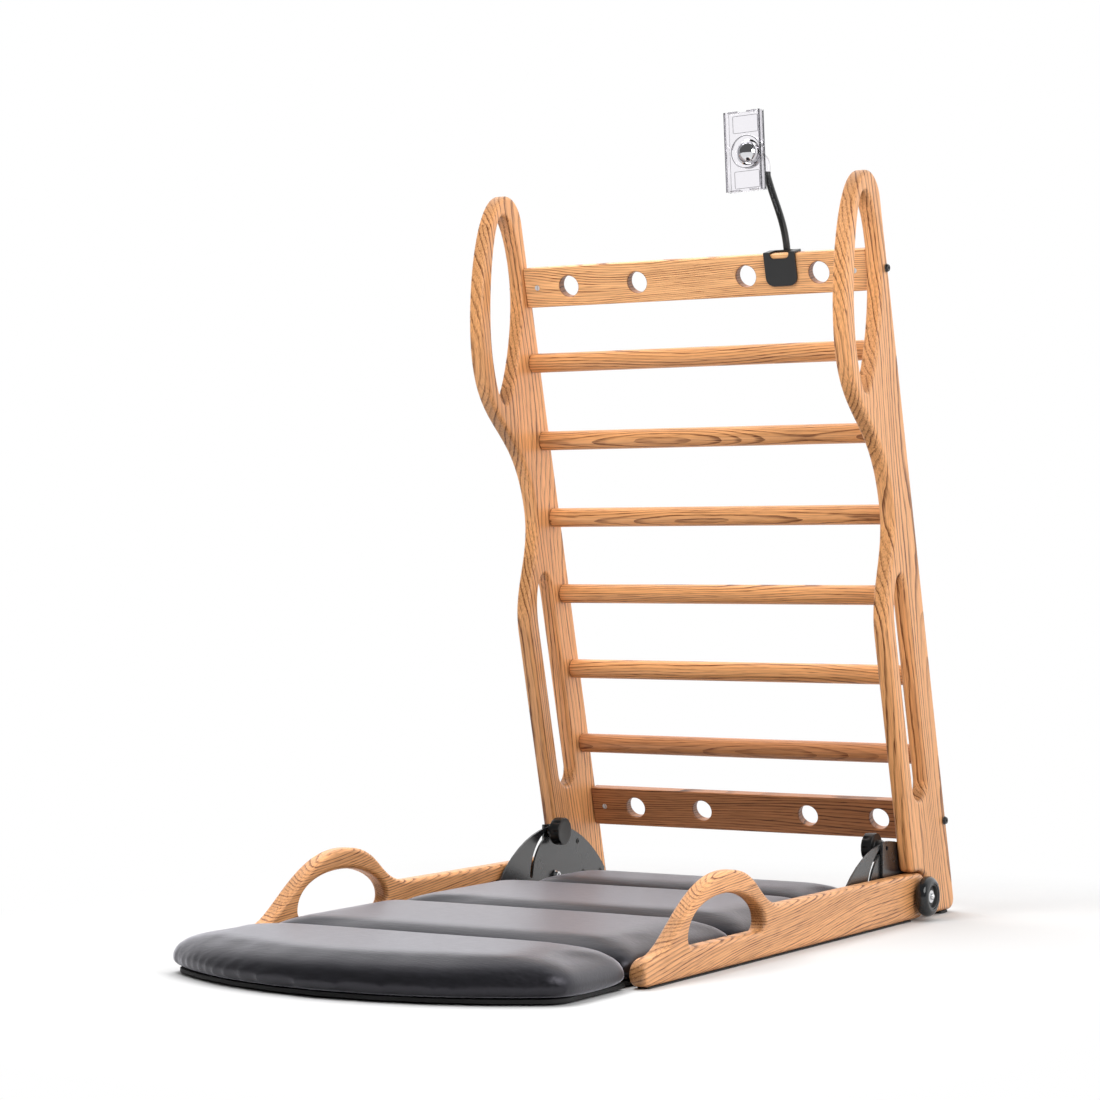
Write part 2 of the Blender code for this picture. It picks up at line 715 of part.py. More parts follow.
def mat_outline(half, front, rear, corner_r, bow_r, steps, rear_half=0.0, step=0.0):
    """Rounded rectangle whose front edge is an arc of radius bow_r, or straight where bow_r is 0.

    Behind step it has the half width rear_half, where one is given.
    """
    def drawn_back(x):
        return bow_r - math.sqrt(bow_r ** 2 - x ** 2) if bow_r else 0.0

    corners = [(half, rear, corner_r), (-half, rear, corner_r)]
    if rear_half:
        corners = [(half, step, 0), (rear_half, step, 0), (rear_half, rear, corner_r),
                   (-rear_half, rear, corner_r), (-rear_half, step, 0), (-half, step, 0)]
    corners.append((-half, front + drawn_back(half), corner_r))
    for k in range(1, MAT_FRONT_STEPS):
        x = half * (2 * k / MAT_FRONT_STEPS - 1)
        corners.append((x, front + drawn_back(x), 0))
    corners.append((half, front + drawn_back(half), corner_r))
    return rounded(corners, steps)


def make_base_board(machine, black):
    body = mat_outline(FRONT_PAD_HALF - PAD_OVERHANG, -MAT_FRONT, MAT_REAR, MAT_CORNER_R, MAT_BOW_R, 6,
                       MAT_HALF, -NOSE_REACH - NOSE_GAP)
    top = BASE_LIFT + BASE_T
    solid = plate("z", BASE_LIFT, top, body)
    board = mesh_object("base_board", solid, machine, black)
    edge = INNER_X - SEAT
    root = MAT_HALF - TAB_LEG_T
    low = BASE_LIFT + BASE_T * 0.1
    high = top - BASE_T * 0.1
    leg = edge - TAB_LEG_T
    angle = [(root, low), (edge, low), (edge, TAB_H), (leg, TAB_H), (leg, high), (root, high)]
    additions = []
    for name, side in SIDES:
        additions.append(sided(plate("y", -TAB_FRONT, -TAB_REAR, angle), side))
        runner = block(RUNNER_X, RUNNER_X + RUNNER_W, -MAT_FRONT + RUNNER_SHY, MAT_REAR - RUNNER_W, 0, low)
        additions.append(sided(runner, side))
    combine(board, additions, "UNION")


def make_pads(machine, leatherette):
    low = BASE_LIFT + BASE_T + SEAT
    edges = [MAT_FRONT + PAD_OVERHANG + PAD_GAP, *SEAMS, -PAD_REAR]
    names = ("pad_front", "pad_middle_front", "pad_middle_rear", "pad_rear")
    # Each step: share of the height, share of the side roll and share of the end roll drawn in
    profile = ((0.0, 0.04, 0.06), (0.16, 0.0, 0.0), (0.42, 0.02, 0.04), (0.66, 0.10, 0.17),
               (0.84, 0.33, 0.42), (0.95, 0.68, 0.74), (1.0, 1.0, 1.0))
    for k, name in enumerate(names):
        half = REAR_PAD_HALF if name == "pad_rear" else PAD_HALF
        bow_r = 0.0
        corner = PAD_CORNER_R
        side_roll = PAD_SIDE_ROLL
        if name == "pad_front":
            half = FRONT_PAD_HALF
            bow_r = MAT_BOW_R
            corner = MAT_CORNER_R
            side_roll = FRONT_PAD_SIDE_ROLL
        front = -edges[k] + PAD_GAP
        rear = -edges[k + 1] - PAD_GAP
        bm = bmesh.new()
        rings = []
        for up, side_in, end_in in profile:
            side = side_in * side_roll
            end = end_in * PAD_END_ROLL
            loop = mat_outline(half - side, front + end, rear - end, corner, bow_r, 4)
            rings.append(add_ring(bm, [(x, y, low + up * PAD_H) for x, y in loop]))
        for ring_a, ring_b in zip(rings, rings[1:]):
            bridge(bm, ring_a, ring_b)
        cap(bm, [rings[0]])
        cap(bm, [rings[-1]])
        mesh_object(name, finish(bm), machine, leatherette)


# Hinge plates, pivot bolts and clamp knobs

def arch_outline(arch, front, rear):
    """A plate under an arc (y, z, radius) between two upright edges, measured from the pivot."""
    y, z, radius = arch
    start = math.degrees(math.acos((rear - y) / radius))
    end = math.degrees(math.acos((front - y) / radius))
    top = arc((y, z), radius, start, end, 10)
    corners = [(rear, PLATE_BOTTOM, PLATE_CORNER_R), (*top[0], PLATE_CORNER_R / 4)]
    corners += [(*spot, 0) for spot in top[1:-1]]
    corners += [(*top[-1], PLATE_CORNER_R / 4), (front, PLATE_BOTTOM, PLATE_CORNER_R)]
    return rounded(corners)


def clamp_slot():
    half = STUD_R + CLAMP_SLOT_CLEAR
    start = math.degrees(CLAMP_ANGLE)
    end = start + math.degrees(FOLD_RANGE)
    turn = arc((0, 0), CLAMP_R, start, end, 1)
    loop = arc((0, 0), CLAMP_R + half, start, end, 9)
    loop += arc(turn[1], half, end, end + 180, 6)[1:-1]
    loop += arc((0, 0), CLAMP_R - half, end, start, 9)
    loop += arc(turn[0], half, start + 180, start + 360, 6)[1:-1]
    return loop


def make_slot_plates(machine, black, steel):
    outline = arch_outline(SLOT_ARCH, SLOT_PLATE_FRONT, SLOT_PLATE_REAR)
    holes = [clamp_slot(), circle((0, 0), PIVOT_BOLT_R + BORE_CLEAR, 14)]
    (y0, z0), (y1, z1) = STAND_OFF
    for name, side in SIDES:
        solid = sided(plate("x", SLOT_IN, SLOT_OUT, outline, holes), side)
        pivot = (0, 0, PIVOT_UP)
        fixed = mesh_object("slot_plate_" + name, solid, machine, black, pivot)
        spacer = rectangle(y0, y1, z0, z1, PLATE_CORNER_R / 2)
        pad = plate("x", SLOT_OUT - PLATE_T / 2, INNER_X - SEAT, spacer)
        combine(fixed, [sided(pad, side)], "UNION")
        bores = []
        for k, (y, z) in enumerate(SLOT_SCREWS):
            bore = rod(SLOT_IN - PLATE_T, OUTER_X, SCREW_R + BORE_CLEAR, 10)
            bores.append(sided(shifted(bore, 0, y, z), side))
            pin = screw(SCREW_DEPTH, SCREW_R, SCREW_HEAD_R, SCREW_HEAD_H)
            pin = sided(shifted(pin, SLOT_IN - SEAT, y, z), side)
            mesh_object("slot_plate_screw_%s_%d" % (name, k + 1), pin, machine, black, pivot)
        combine(fixed, bores, "DIFFERENCE")
        head = SLOT_IN - SEAT
        bolt = lathe([(head - PIVOT_HEAD_H, 0), (head - PIVOT_HEAD_H, PIVOT_HEAD_R * 0.86),
                      (head - PIVOT_HEAD_H * 0.8, PIVOT_HEAD_R), (head, PIVOT_HEAD_R), (head, PIVOT_BOLT_R),
                      (INNER_X + PIVOT_DEPTH, PIVOT_BOLT_R), (INNER_X + PIVOT_DEPTH, 0)], 12)
        mesh_object("pivot_bolt_" + name, sided(bolt, side), machine, steel, pivot)


def make_swing_plates(ladder, black):
    outline = [to_ladder(y, z) for y, z in arch_outline(SWING_ARCH, SWING_PLATE_FRONT, SWING_PLATE_REAR)]
    knob_spot = to_ladder(CLAMP_R * math.cos(CLAMP_ANGLE), CLAMP_R * math.sin(CLAMP_ANGLE))
    holes = [circle((0, 0), PIVOT_BOLT_R + BORE_CLEAR, 14), circle(knob_spot, STUD_R + BORE_CLEAR, 12)]
    for name, side in SIDES:
        solid = sided(plate("x", SWING_IN, SWING_OUT, outline, holes), side)
        swing = mesh_object("swing_plate_" + name, solid, ladder, black)
        bores = []
        for k, spot in enumerate(SWING_SCREWS):
            y, z = to_ladder(*spot)
            sunk = SWING_IN + SEAT
            size = (SCREW_DEPTH - SEAT, SCREW_R, SCREW_HEAD_R, SCREW_HEAD_H)
            bores.append(sided(shifted(flush_screw(*size, BORE_CLEAR), sunk, y, z), side))
            pin = sided(shifted(flush_screw(*size), sunk, y, z), side)
            mesh_object("swing_plate_screw_%s_%d" % (name, k + 1), pin, ladder, black)
        combine(swing, bores, "DIFFERENCE")


def make_knobs(ladder, plastic):
    y, z = to_ladder(CLAMP_R * math.cos(CLAMP_ANGLE), CLAMP_R * math.sin(CLAMP_ANGLE))
    face = SLOT_IN - SEAT
    grip = face - KNOB_BOSS_L
    end = grip - KNOB_GRIP_L
    edge = KNOB_R - KNOB_FLUTE

    def lobed(radius, angle):
        if radius < edge:
            return radius
        return radius - KNOB_FLUTE * (1 + math.cos(KNOB_LOBES * angle)) / 2

    profile = [(end, 0), (end, edge * 0.86), (end + KNOB_GRIP_L * 0.08, KNOB_R * 0.97),
               (end + KNOB_GRIP_L * 0.2, KNOB_R), (grip - KNOB_GRIP_L * 0.2, KNOB_R),
               (grip, edge * 0.9), (grip, KNOB_BOSS_R), (face, KNOB_BOSS_R), (face, STUD_R),
               (SWING_OUT - SEAT, STUD_R), (SWING_OUT - SEAT, 0)]
    for name, side in SIDES:
        solid = sided(lathe(profile, KNOB_LOBES * 4, reach=lobed), side)
        mesh_object("clamp_knob_" + name, solid, ladder, plastic, (0, y, z))


# Wheels

def both_ways(half_profile):
    """A ring's profile from its half on the +X side, out to in."""
    return [(-x, r) for x, r in reversed(half_profile)] + half_profile


def make_wheels(machine, tyre_look, hub_look, steel):
    half = WHEEL_W / 2
    mid = OUTER_X + WHEEL_GAP + half
    bearing_half = BEARING_W / 2
    bore = HUB_R + SEAT
    tyre = both_ways([(half * 0.5, WHEEL_R), (half * 0.86, WHEEL_R * 0.92), (half, WHEEL_R * 0.76),
                      (half, bore)])
    hub = both_ways([(half * 0.9, HUB_R), (half * 0.5, HUB_R * 0.75), (bearing_half, BEARING_R * 1.25),
                     (bearing_half, BEARING_R + SEAT)])
    bearing = both_ways([(bearing_half, BEARING_R), (bearing_half, AXLE_R + SEAT)])
    inner = mid - bearing_half - SEAT
    outer = mid + bearing_half + SEAT
    axle = [(OUTER_X - AXLE_DEPTH, 0), (OUTER_X - AXLE_DEPTH, AXLE_R), (OUTER_X + SEAT, AXLE_R),
            (OUTER_X + SEAT, AXLE_COLLAR_R), (inner, AXLE_COLLAR_R), (inner, AXLE_R), (outer, AXLE_R),
            (outer, AXLE_HEAD_R), (outer + AXLE_HEAD_H * 0.6, AXLE_HEAD_R),
            (outer + AXLE_HEAD_H, AXLE_HEAD_R * 0.6), (outer + AXLE_HEAD_H, 0)]
    for name, side in SIDES:
        hub_axis = empty("wheel_%s_axis" % name, machine, (0, AXLE_BACK, AXLE_UP))
        turned = (("wheel_tyre_", tyre, 28, tyre_look), ("wheel_hub_", hub, 20, hub_look),
                  ("wheel_bearing_", bearing, ROUND_SIDES, steel))
        for piece, profile, sides, look in turned:
            solid = sided(shifted(lathe(profile, sides, closed=True), mid, 0, 0), side)
            mesh_object(piece + name, solid, hub_axis, look)
        mesh_object("axle_bolt_" + name, sided(lathe(axle, 14), side), hub_axis, steel)


# Phone holder

def corner_cutter(x, z, radius, side, low, high):
    """The waste outside one rounded lower corner of a tongue, between two depths."""
    spare = radius / 2
    waste = [(x + side * spare, z + radius), (x + side * spare, z - spare), (x - side * radius, z - spare)]
    waste += arc((x - side * radius, z + radius), radius, -90, -90 + side * 90, 5)
    return plate("y", low, high, waste)


def make_clip(ladder, plastic):
    top = TOP_BOARD_UP + BOARD_H / 2 + SEAT
    front = BOARD_FRONT - SEAT
    back = BOARD_BACK + SEAT
    front_low = top - CLIP_DROP
    back_low = top - CLIP_BACK_DROP
    hook = [(front - CLIP_T, front_low), (front, front_low), (front, top), (back, top), (back, back_low),
            (back + CLIP_T, back_low), (back + CLIP_T, top + CLIP_T), (front - CLIP_T, top + CLIP_T)]
    solid = plate("x", CLIP_X - CLIP_W / 2, CLIP_X + CLIP_W / 2, hook)
    clip = mesh_object("phone_clip", solid, ladder, plastic)
    socket_y = back + CLIP_T + NECK_SOCKET_R * 0.8
    socket = moved(rod(top - NECK_SOCKET_L, top + CLIP_T / 2, NECK_SOCKET_R, 14), TURN_TO_Z)
    combine(clip, [shifted(socket, CLIP_X, socket_y, 0)], "UNION")
    half = CLIP_WINDOW_W / 2
    window = rounded([(CLIP_X - half, top - CLIP_WINDOW_H, CLIP_WINDOW_H * 0.9),
                      (CLIP_X + half, top - CLIP_WINDOW_H, CLIP_WINDOW_H * 0.9),
                      (CLIP_X + half, top + 2 * CLIP_T, 0), (CLIP_X - half, top + 2 * CLIP_T, 0)])
    cuts = [plate("y", front - 2 * CLIP_T, back, window)]
    for name, side in SIDES:
        edge = CLIP_X + side * CLIP_W / 2
        cuts.append(corner_cutter(edge, front_low, CLIP_CORNER_R, side, front - 2 * CLIP_T, front + CLIP_T))
        cuts.append(corner_cutter(edge, back_low, CLIP_CORNER_R, side, back - CLIP_T, back + 2 * CLIP_T))
    combine(clip, cuts, "DIFFERENCE")
    return Vector((CLIP_X, socket_y, top + CLIP_T / 2 + SEAT))


def tube(name, route, radius, parent, look):
    """A round tube along points, with filled ends."""
    path = bpy.data.curves.new(name, "CURVE")
    path.dimensions = "3D"
    path.bevel_depth = radius
    path.bevel_resolution = 2
    path.use_fill_caps = True
    line = path.splines.new("POLY")
    line.points.add(len(route) - 1)
    for spot, point in zip(line.points, route):
        spot.co = (*point, 1)
    path.materials.append(look)
    made = bpy.data.objects.new(name, path)
    bpy.context.scene.collection.objects.link(made)
    made.parent = parent
    return made


def globe(radius):
    """A ball with its poles front and back."""
    steps = ROUND_SIDES // 2
    angles = [math.pi * k / steps for k in range(1, steps)]
    rounds = [(radius * math.cos(angle), radius * math.sin(angle)) for angle in angles]
    return moved(lathe([(radius, 0), *rounds, (-radius, 0)], ROUND_SIDES), TURN_TO_Y)


def make_phone_holder(ladder, plastic, clear, chrome):
    foot = make_clip(ladder, plastic)
    level = Matrix.Rotation(-LEAN, 3, "X")
    rise = level @ Vector((0, 0, 1))
    neck_end = foot + level @ Vector((-NECK_LEFT, NECK_BACK, NECK_RISE))
    neck_top = neck_end - rise * NECK_R
    bend = neck_top - level @ Vector((-NECK_LEFT, 0, NECK_RISE)) * 0.35
    lift = Vector((0, 0, NECK_R))
    spread = Vector((0, 0, NECK_RISE * 0.40))
    route = interpolate_bezier(foot + lift, foot + spread, bend, neck_top, 13)
    tube("neck", [foot, *route, neck_end], NECK_R, ladder, plastic)
    ball = neck_end + level @ Vector(BALL_FROM_NECK)
    back = level @ Vector((0, 1, 0))
    arm_start = neck_end + rise * SEAT
    arm_end = ball + back * (BALL_R + SEAT)
    reach = abs(BALL_FROM_NECK[1])
    route = interpolate_bezier(arm_start + rise * ARM_R, arm_start + rise * BALL_FROM_NECK[2],
                               arm_end + back * (reach * 0.4), arm_end + back * ARM_R, 8)
    tube("ball_arm", [arm_start, *route, arm_end], ARM_R, ladder, clear)
    socket = empty("cradle_ball", ladder, ball, (-LEAN, 0, 0))
    mesh_object("swivel_ball", globe(BALL_R), socket, chrome)
    make_cradle(socket, clear)


def make_cradle(socket, clear):
    half_w = CRADLE_W / 2
    half_h = CRADLE_H / 2
    back = CRADLE_T / 2 - CRADLE_SET
    face = back - CRADLE_T
    front = face - CRADLE_RIM_D
    roll = Matrix.Rotation(CRADLE_ROLL, 4, "Y")
    sheet = plate("y", face, back, rectangle(-half_w, half_w, -half_h, half_h, CRADLE_CORNER_R),
                  [circle((0, 0), CRADLE_RING_R * 0.9, 24)])
    cradle = mesh_object("phone_cradle", moved(sheet, roll), socket, clear)
    rims = []
    for name, side in SIDES:
        rim = block(half_w - CRADLE_RIM_T, half_w + SEAT, front, back - CRADLE_T / 4,
                    -half_h + CRADLE_LIP, half_h - CRADLE_LIP)
        rims.append(moved(sided(rim, side), roll))
    lip = face - CRADLE_T / 2
    ring = [(lip, CRADLE_MOUTH_R), (lip, CRADLE_RING_R), (lip + CRADLE_RING_D, CRADLE_RING_R),
            (lip + CRADLE_RING_D, CRADLE_MOUTH_R)]
    rims.append(moved(lathe(ring, 20, closed=True), TURN_TO_Y))
    combine(cradle, rims, "UNION")
    lips = []
    for end in (-1, 1):
        for name, side in SIDES:
            catch = block(half_w - 2 * CRADLE_LIP, half_w - CRADLE_LIP / 2, front, (face + back) / 2,
                          half_h - CRADLE_RIM_T, half_h + SEAT)
            lips.append(moved(sided(catch, side), roll @ Matrix.Diagonal((1, 1, end, 1))))
    combine(cradle, lips, "UNION")
    combine(cradle, [globe((BALL_R + SEAT) / math.cos(math.pi / ROUND_SIDES))], "DIFFERENCE")


def make_machine():
    clear_scene()
    wood = finish_material("oiled_ash", (0.62, 0.34, 0.15), 0.45)
    leatherette = finish_material("grey_leatherette", (0.055, 0.055, 0.060), 0.5)
    black = finish_material("black_powder_coat", (0.035, 0.035, 0.037), 0.5)
    plastic = finish_material("black_plastic", (0.022, 0.023, 0.024), 0.45)
    rubber = finish_material("black_rubber", (0.015, 0.015, 0.015), 0.8)
    tyre_look = finish_material("grey_polyurethane", (0.030, 0.034, 0.040), 0.3)
    steel = finish_material("zinc_steel", (0.60, 0.60, 0.60), 0.3, 1.0)
    chrome = finish_material("chrome", (0.80, 0.80, 0.81), 0.08, 1.0)
    clear = finish_material("clear_polycarbonate", (0.85, 0.86, 0.88), 0.1)
    heel = max(y * math.cos(LEAN) - z * math.sin(LEAN) for y, z in upright_outline())
    machine = empty("machine", None, (0, (MAT_FRONT + PAD_OVERHANG - heel) / 2, 0))
    ladder = empty("ladder", machine, (0, 0, PIVOT_UP), (LEAN, 0, 0))
    make_rails(machine, wood, rubber)
    make_base_board(machine, black)
    make_pads(machine, leatherette)
    make_slot_plates(machine, black, steel)
    make_wheels(machine, tyre_look, plastic, steel)
    make_uprights(ladder, wood)
    make_rungs(ladder, wood)
    make_boards(ladder, wood, steel, black)
    make_swing_plates(ladder, black)
    make_knobs(ladder, plastic)
    make_feet(ladder, rubber)
    make_phone_holder(ladder, plastic, clear, chrome)


make_machine()
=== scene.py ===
"""Looks of a folding ladder trainer: oiled ash, leatherette pads, hinges, wheels and a phone holder."""

import json
import math

import bmesh
import bpy
import numpy as np
from bpy.props import FloatProperty, FloatVectorProperty, IntProperty, PointerProperty
from mathutils import Matrix, Vector
from mathutils.geometry import interpolate_bezier


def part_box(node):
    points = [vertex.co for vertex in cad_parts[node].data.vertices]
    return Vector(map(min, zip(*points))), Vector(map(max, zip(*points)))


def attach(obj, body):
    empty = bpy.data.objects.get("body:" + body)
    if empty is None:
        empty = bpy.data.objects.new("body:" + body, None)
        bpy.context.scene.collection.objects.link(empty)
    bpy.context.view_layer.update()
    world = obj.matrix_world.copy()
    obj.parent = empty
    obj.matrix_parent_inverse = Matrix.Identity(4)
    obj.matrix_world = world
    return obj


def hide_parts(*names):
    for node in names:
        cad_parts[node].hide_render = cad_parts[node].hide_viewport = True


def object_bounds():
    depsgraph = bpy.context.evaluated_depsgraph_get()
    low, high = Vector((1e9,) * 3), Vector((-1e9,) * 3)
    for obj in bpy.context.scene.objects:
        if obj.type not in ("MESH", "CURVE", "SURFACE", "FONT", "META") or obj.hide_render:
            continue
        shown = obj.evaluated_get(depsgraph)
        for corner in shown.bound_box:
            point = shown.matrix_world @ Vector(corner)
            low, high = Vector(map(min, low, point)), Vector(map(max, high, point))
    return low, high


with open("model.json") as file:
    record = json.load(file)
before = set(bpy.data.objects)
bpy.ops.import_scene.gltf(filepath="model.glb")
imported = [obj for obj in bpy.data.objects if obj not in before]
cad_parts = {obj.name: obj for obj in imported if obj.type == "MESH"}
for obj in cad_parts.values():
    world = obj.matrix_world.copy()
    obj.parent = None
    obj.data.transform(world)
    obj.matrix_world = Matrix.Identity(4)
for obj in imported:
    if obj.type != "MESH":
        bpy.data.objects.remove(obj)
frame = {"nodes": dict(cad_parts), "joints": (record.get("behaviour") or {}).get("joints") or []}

bl_info = {
    "name": "Folding ladder trainer",
    "version": (1, 0, 0),
    "blender": (4, 5, 0),
    "location": "3D View > Sidebar > Ladder trainer",
    "description": "Dresses the ladder trainer with its wood, pads, hinges, wheels and phone holder",
    "category": "Object",
}

CAD_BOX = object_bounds()
JOINTS = {joint["name"]: joint for joint in frame["joints"]}
SIDES = (("left", -1), ("right", 1))

# Frames: the machine frame has the fold pivot at y = 0, the ladder frame has it as its origin
LEAN = math.radians(14.65)
PIVOT = Vector(JOINTS["fold"]["pos_m"])
PIVOT_UP = PIVOT.z
MACHINE = Matrix.Translation((0, PIVOT.y, 0))
LADDER = Matrix.Translation(PIVOT) @ Matrix.Rotation(LEAN, 4, "X")
TURN_TO_Y = Matrix.Rotation(math.pi / 2, 4, "Z")

# Fits
SEAT = 0.0003
SWEEP_GAP = 0.0025

# Ladder
INNER_X = 0.340
WOOD_T = 0.0286
OUTER_X = INNER_X + WOOD_T
RUNG_COUNT = 6
STRAIGHT_RUNGS = (0, 3, 4)
JOINT_GROOVE = 0.0016
RUNG_PITCH = 0.145
RUNG_R = 0.0175
RUNG_SETBACK = 0.0292
LOWEST_RUNG_UP = 0.1995
PIVOT_TO_BACK = 0.2044
FOOT_WIDTH = 0.162
WAIST_UP = 0.664
WAIST_WIDTH = 0.0868
FLARE_LENGTH = 0.214
GRIP_WIDTH = 0.1955
GRIP_LENGTH = 0.281
HORN = 0.1725
TIP_SETBACK = 0.046
TIP_DROP = 0.055
HEEL_R = 0.018
LEG_R = 0.010
FOOT_H = 0.005

# Grip loop and long slot in each upright
FRONT_LIMB = 0.0368
REAR_LIMB = 0.0315
TOP_LIMB = 0.034
GRIP_TAIL = 0.080
TAIL_WIDTH = 0.138
LOOP_TOP_WIDTH = 0.066
SLOT_REAR_LIMB = 0.068
SLOT_FRONT_LIMB = 0.037
SLOT_LOW_UP = 0.1395
SLOT_TOP_DROP = 0.123
SLOT_TOP_WIDTH = 0.086

# Boards
BOARD_H = 0.072
BOARD_T = 0.020
BOARD_INSET = 0.0035
TOP_BOARD_GAP = 0.137
BOTTOM_BOARD_GAP = 0.127
BOARD_HOLE_R = 0.019
# Faces this close to a hole's middle get the painted shade of the hole walls
HOLE_WALL_R = BOARD_HOLE_R + 0.0012
BOARD_HOLES_X = (0.108, 0.248)
NUT_R = 0.005
NUT_IN = 0.026
NUT_DEPTH = BOARD_T * 0.42
NUT_EDGE = 0.0005
NUT_SLOT_HALF = 0.0007
NUT_SLOT_D = 0.0015
TOP_RUNG_UP = LOWEST_RUNG_UP + (RUNG_COUNT - 1) * RUNG_PITCH
TOP_BOARD_UP = TOP_RUNG_UP + TOP_BOARD_GAP
BOTTOM_BOARD_UP = LOWEST_RUNG_UP - BOTTOM_BOARD_GAP
TIP_UP = TOP_BOARD_UP + HORN
GRIP_UP = TIP_UP - GRIP_LENGTH
BOARD_BACK = PIVOT_TO_BACK - BOARD_INSET
BOARD_FRONT = BOARD_BACK - BOARD_T
BOARD_MID = BOARD_BACK - BOARD_T / 2

# Rails
STRIP_T = 0.003
RAIL_H = 0.0785
RAIL_TOP = STRIP_T + RAIL_H
AXLE_BACK = 0.059
AXLE_UP = STRIP_T + RAIL_H / 2
NOSE_REACH = 0.941
NOSE_TOP = 0.0445
NOSE_R = 0.0205
NOSE_LENGTH = 0.031
HOOP_REACH = WAIST_UP
HOOP_TOP = 0.150
HOOP_BAR = 0.0335
HOOP_SILL = 0.046
HOOP_FRONT = 0.136
HOOP_REAR = 0.119
HOOP_RUN_OUT = 0.194
RAIL_GRAIN_SLOPE = 7.0

# Mat
BASE_LIFT = 0.003
BASE_T = 0.006
MAT_FRONT = 1.2346
MAT_BOW_R = 0.59
MAT_CORNER_R = 0.052
PAD_H = 0.0565
PAD_HALF = 0.333
REAR_PAD_HALF = 0.289
FRONT_PAD_HALF = 0.350
PAD_CORNER_R = 0.030
PAD_GAP = 0.0015
PAD_OVERHANG = 0.012
SEAMS = (0.931, 0.571, 0.211)
PAD_REAR = 0.005
PAD_SIDE_ROLL = 0.080
FRONT_PAD_SIDE_ROLL = 0.110
PAD_END_ROLL = 0.055
PAD_CROWN = 0.002
PAD_HELD_H = 0.006
PAD_FRAMES = 20
BASE_EDGE = 0.0012

# Hinges and clamps
SWING_IN = INNER_X - SEAT - 0.004
SLOT_IN = SWING_IN - 0.0045
SLOT_SCREWS = ((-0.119, -0.003), (-0.178, -0.012))
SWING_SCREWS = ((0.092, 0.055), (0.114, -0.004), (0.178, -0.007))
SWING_SCREW_SUNK = 0.0022
KNOB_R = 0.025
KNOB_EDGE_R = 0.0025
KNOB_GRIP_L = 0.020
KNOB_BOSS_R = 0.013
KNOB_BOSS_L = 0.010
KNOB_LOBES = 8

# Screw heads: radius, height and radius of the socket
SLOT_SCREW = (0.005, 0.0025, 0.0022)
SWING_SCREW = (0.0055, 0.0023, 0.0024)
PIVOT_BOLT = (0.0095, 0.006, 0.0042)
BOARD_BOLT = (0.0075, 0.004, 0.0031)

# Wheels
WHEEL_R = 0.035
WHEEL_W = 0.024
WHEEL_MID = OUTER_X + 0.0035 + WHEEL_W / 2
HUB_R = 0.022
BEARING_R = 0.011
BEARING_W = 0.014
TYRE_BEAD_R = 0.0105
AXLE_R = 0.0035
AXLE_HEAD_R = 0.0065
AXLE_HEAD_H = 0.005
AXLE_RIM_H = 0.0012
AXLE_END = 0.003

# Phone holder
CLIP_X = 0.178
CLIP_T = 0.0035
NECK_R = 0.0062
NECK_SOCKET_R = 0.0092
NECK_RISE = 0.138
NECK_LEFT = 0.040
NECK_BACK = 0.004
ARM_R = 0.0058
BALL_R = 0.022
BALL_FROM_NECK = Vector((-0.004, -0.060, 0.027))
CRADLE_W = 0.0665
CRADLE_H = 0.138
CRADLE_T = 0.003
CRADLE_SET = 0.012
CRADLE_RIM_T = 0.0026
CRADLE_RIM_D = 0.014
CRADLE_LIP = 0.012
CRADLE_CORNER_R = 0.004
CRADLE_RING_R = 0.029
CRADLE_RING_D = 0.012
CRADLE_MOUTH_R = 0.0185
CRADLE_EDGE_R = 0.0005
CRADLE_RIM_EDGE_R = 0.0004
RING_CHAMFER = 0.0008
PANEL_SHARE = 0.72
BALL_FLAT = 0.35
BALL_PLAY = 0.0004
CRADLE_ROLL = math.radians(-2.4)

# Patterns of the wood and the covers: size along the grain or the mat's width, then across it
GRAIN_STEP = 7.0
SWAY = (0.42, 0.110)
RIPPLE = (0.072, 0.0167)
FIBRE = (0.125, 0.0018)
PORE = (0.038, 0.0016)
CREASE = (0.024, 0.004)
PEBBLE = 0.0025
PATCH = 0.14

# Number of each kind's first piece of wood, and how far pieces lie from the heart of their trunk
UPRIGHT_GRAIN = 1
RUNG_GRAIN = 4
BOARD_GRAIN = 12
RAIL_GRAIN = 15
RUNG_FROM_HEART = 0.43
RUNG_OFF_HEART = 0.02
BOARD_FROM_HEART = 0.47
RAIL_STAVE_DROP = 0.110

# Ash: a stave wider than any single board, the scatter of its heart, its rings, and what darkens the wood
ONE_STAVE = 1.0
HEART_SPREAD = 0.10
HEART_DEPTH = (0.06, 0.03)
HEART_SKEW = (0.08, -0.02)
SWAY_REACH = 0.050
RIPPLE_SHARE = 0.7
LATE_WOOD = (0.50, 0.97)
PORE_RAMP = (0.54, 0.70)
FIBRE_SHADE = (1.40, -0.60)
LATE_SHADE = 0.88
PORE_SHADE = 0.85
# Faces turned along the grain are drawn darker: end grain, and painted shade on the hoops and rail fronts
END_GRAIN_AND_SHADE_FROM = 0.25
END_GRAIN_AND_SHADE_FULL = 0.85
END_GRAIN_AND_PAINTED_SHADE = 0.58

# Stage: each lamp's place, diameter and whether glossy surfaces mirror it, and the camera
LAMPS = (
    ("top", (-0.6, 0.9, 3.6), 3.2, False),
    ("side", (2.3, -0.9, 1.7), 1.6, True),
    ("front", (-0.5, -1.3, 2.4), 1.4, False),
)
LAMP_AIM = Vector((0, 0, 0.5))
FLOOR_HALF = 20
FLOOR_FADE = (0.05, 0.70)
SKY_EDGE = (-0.35, 0.45)
CAMERA_LENS = 96.74
CAMERA_SENSOR = 36
CAMERA_PLACE = (2.415, PIVOT.y - 4.704, 0.614)
CAMERA_TURN = (math.radians(90.33), 0, math.radians(30.37))


def linear(code):
    """An sRGB hex colour as linear RGBA."""
    channels = []
    for k in (0, 2, 4):
        value = int(code[k:k + 2], 16) / 255
        channels.append(value / 12.92 if value <= 0.04045 else ((value + 0.055) / 1.055) ** 2.4)
    return (*channels, 1.0)


# Settings shown in the sidebar

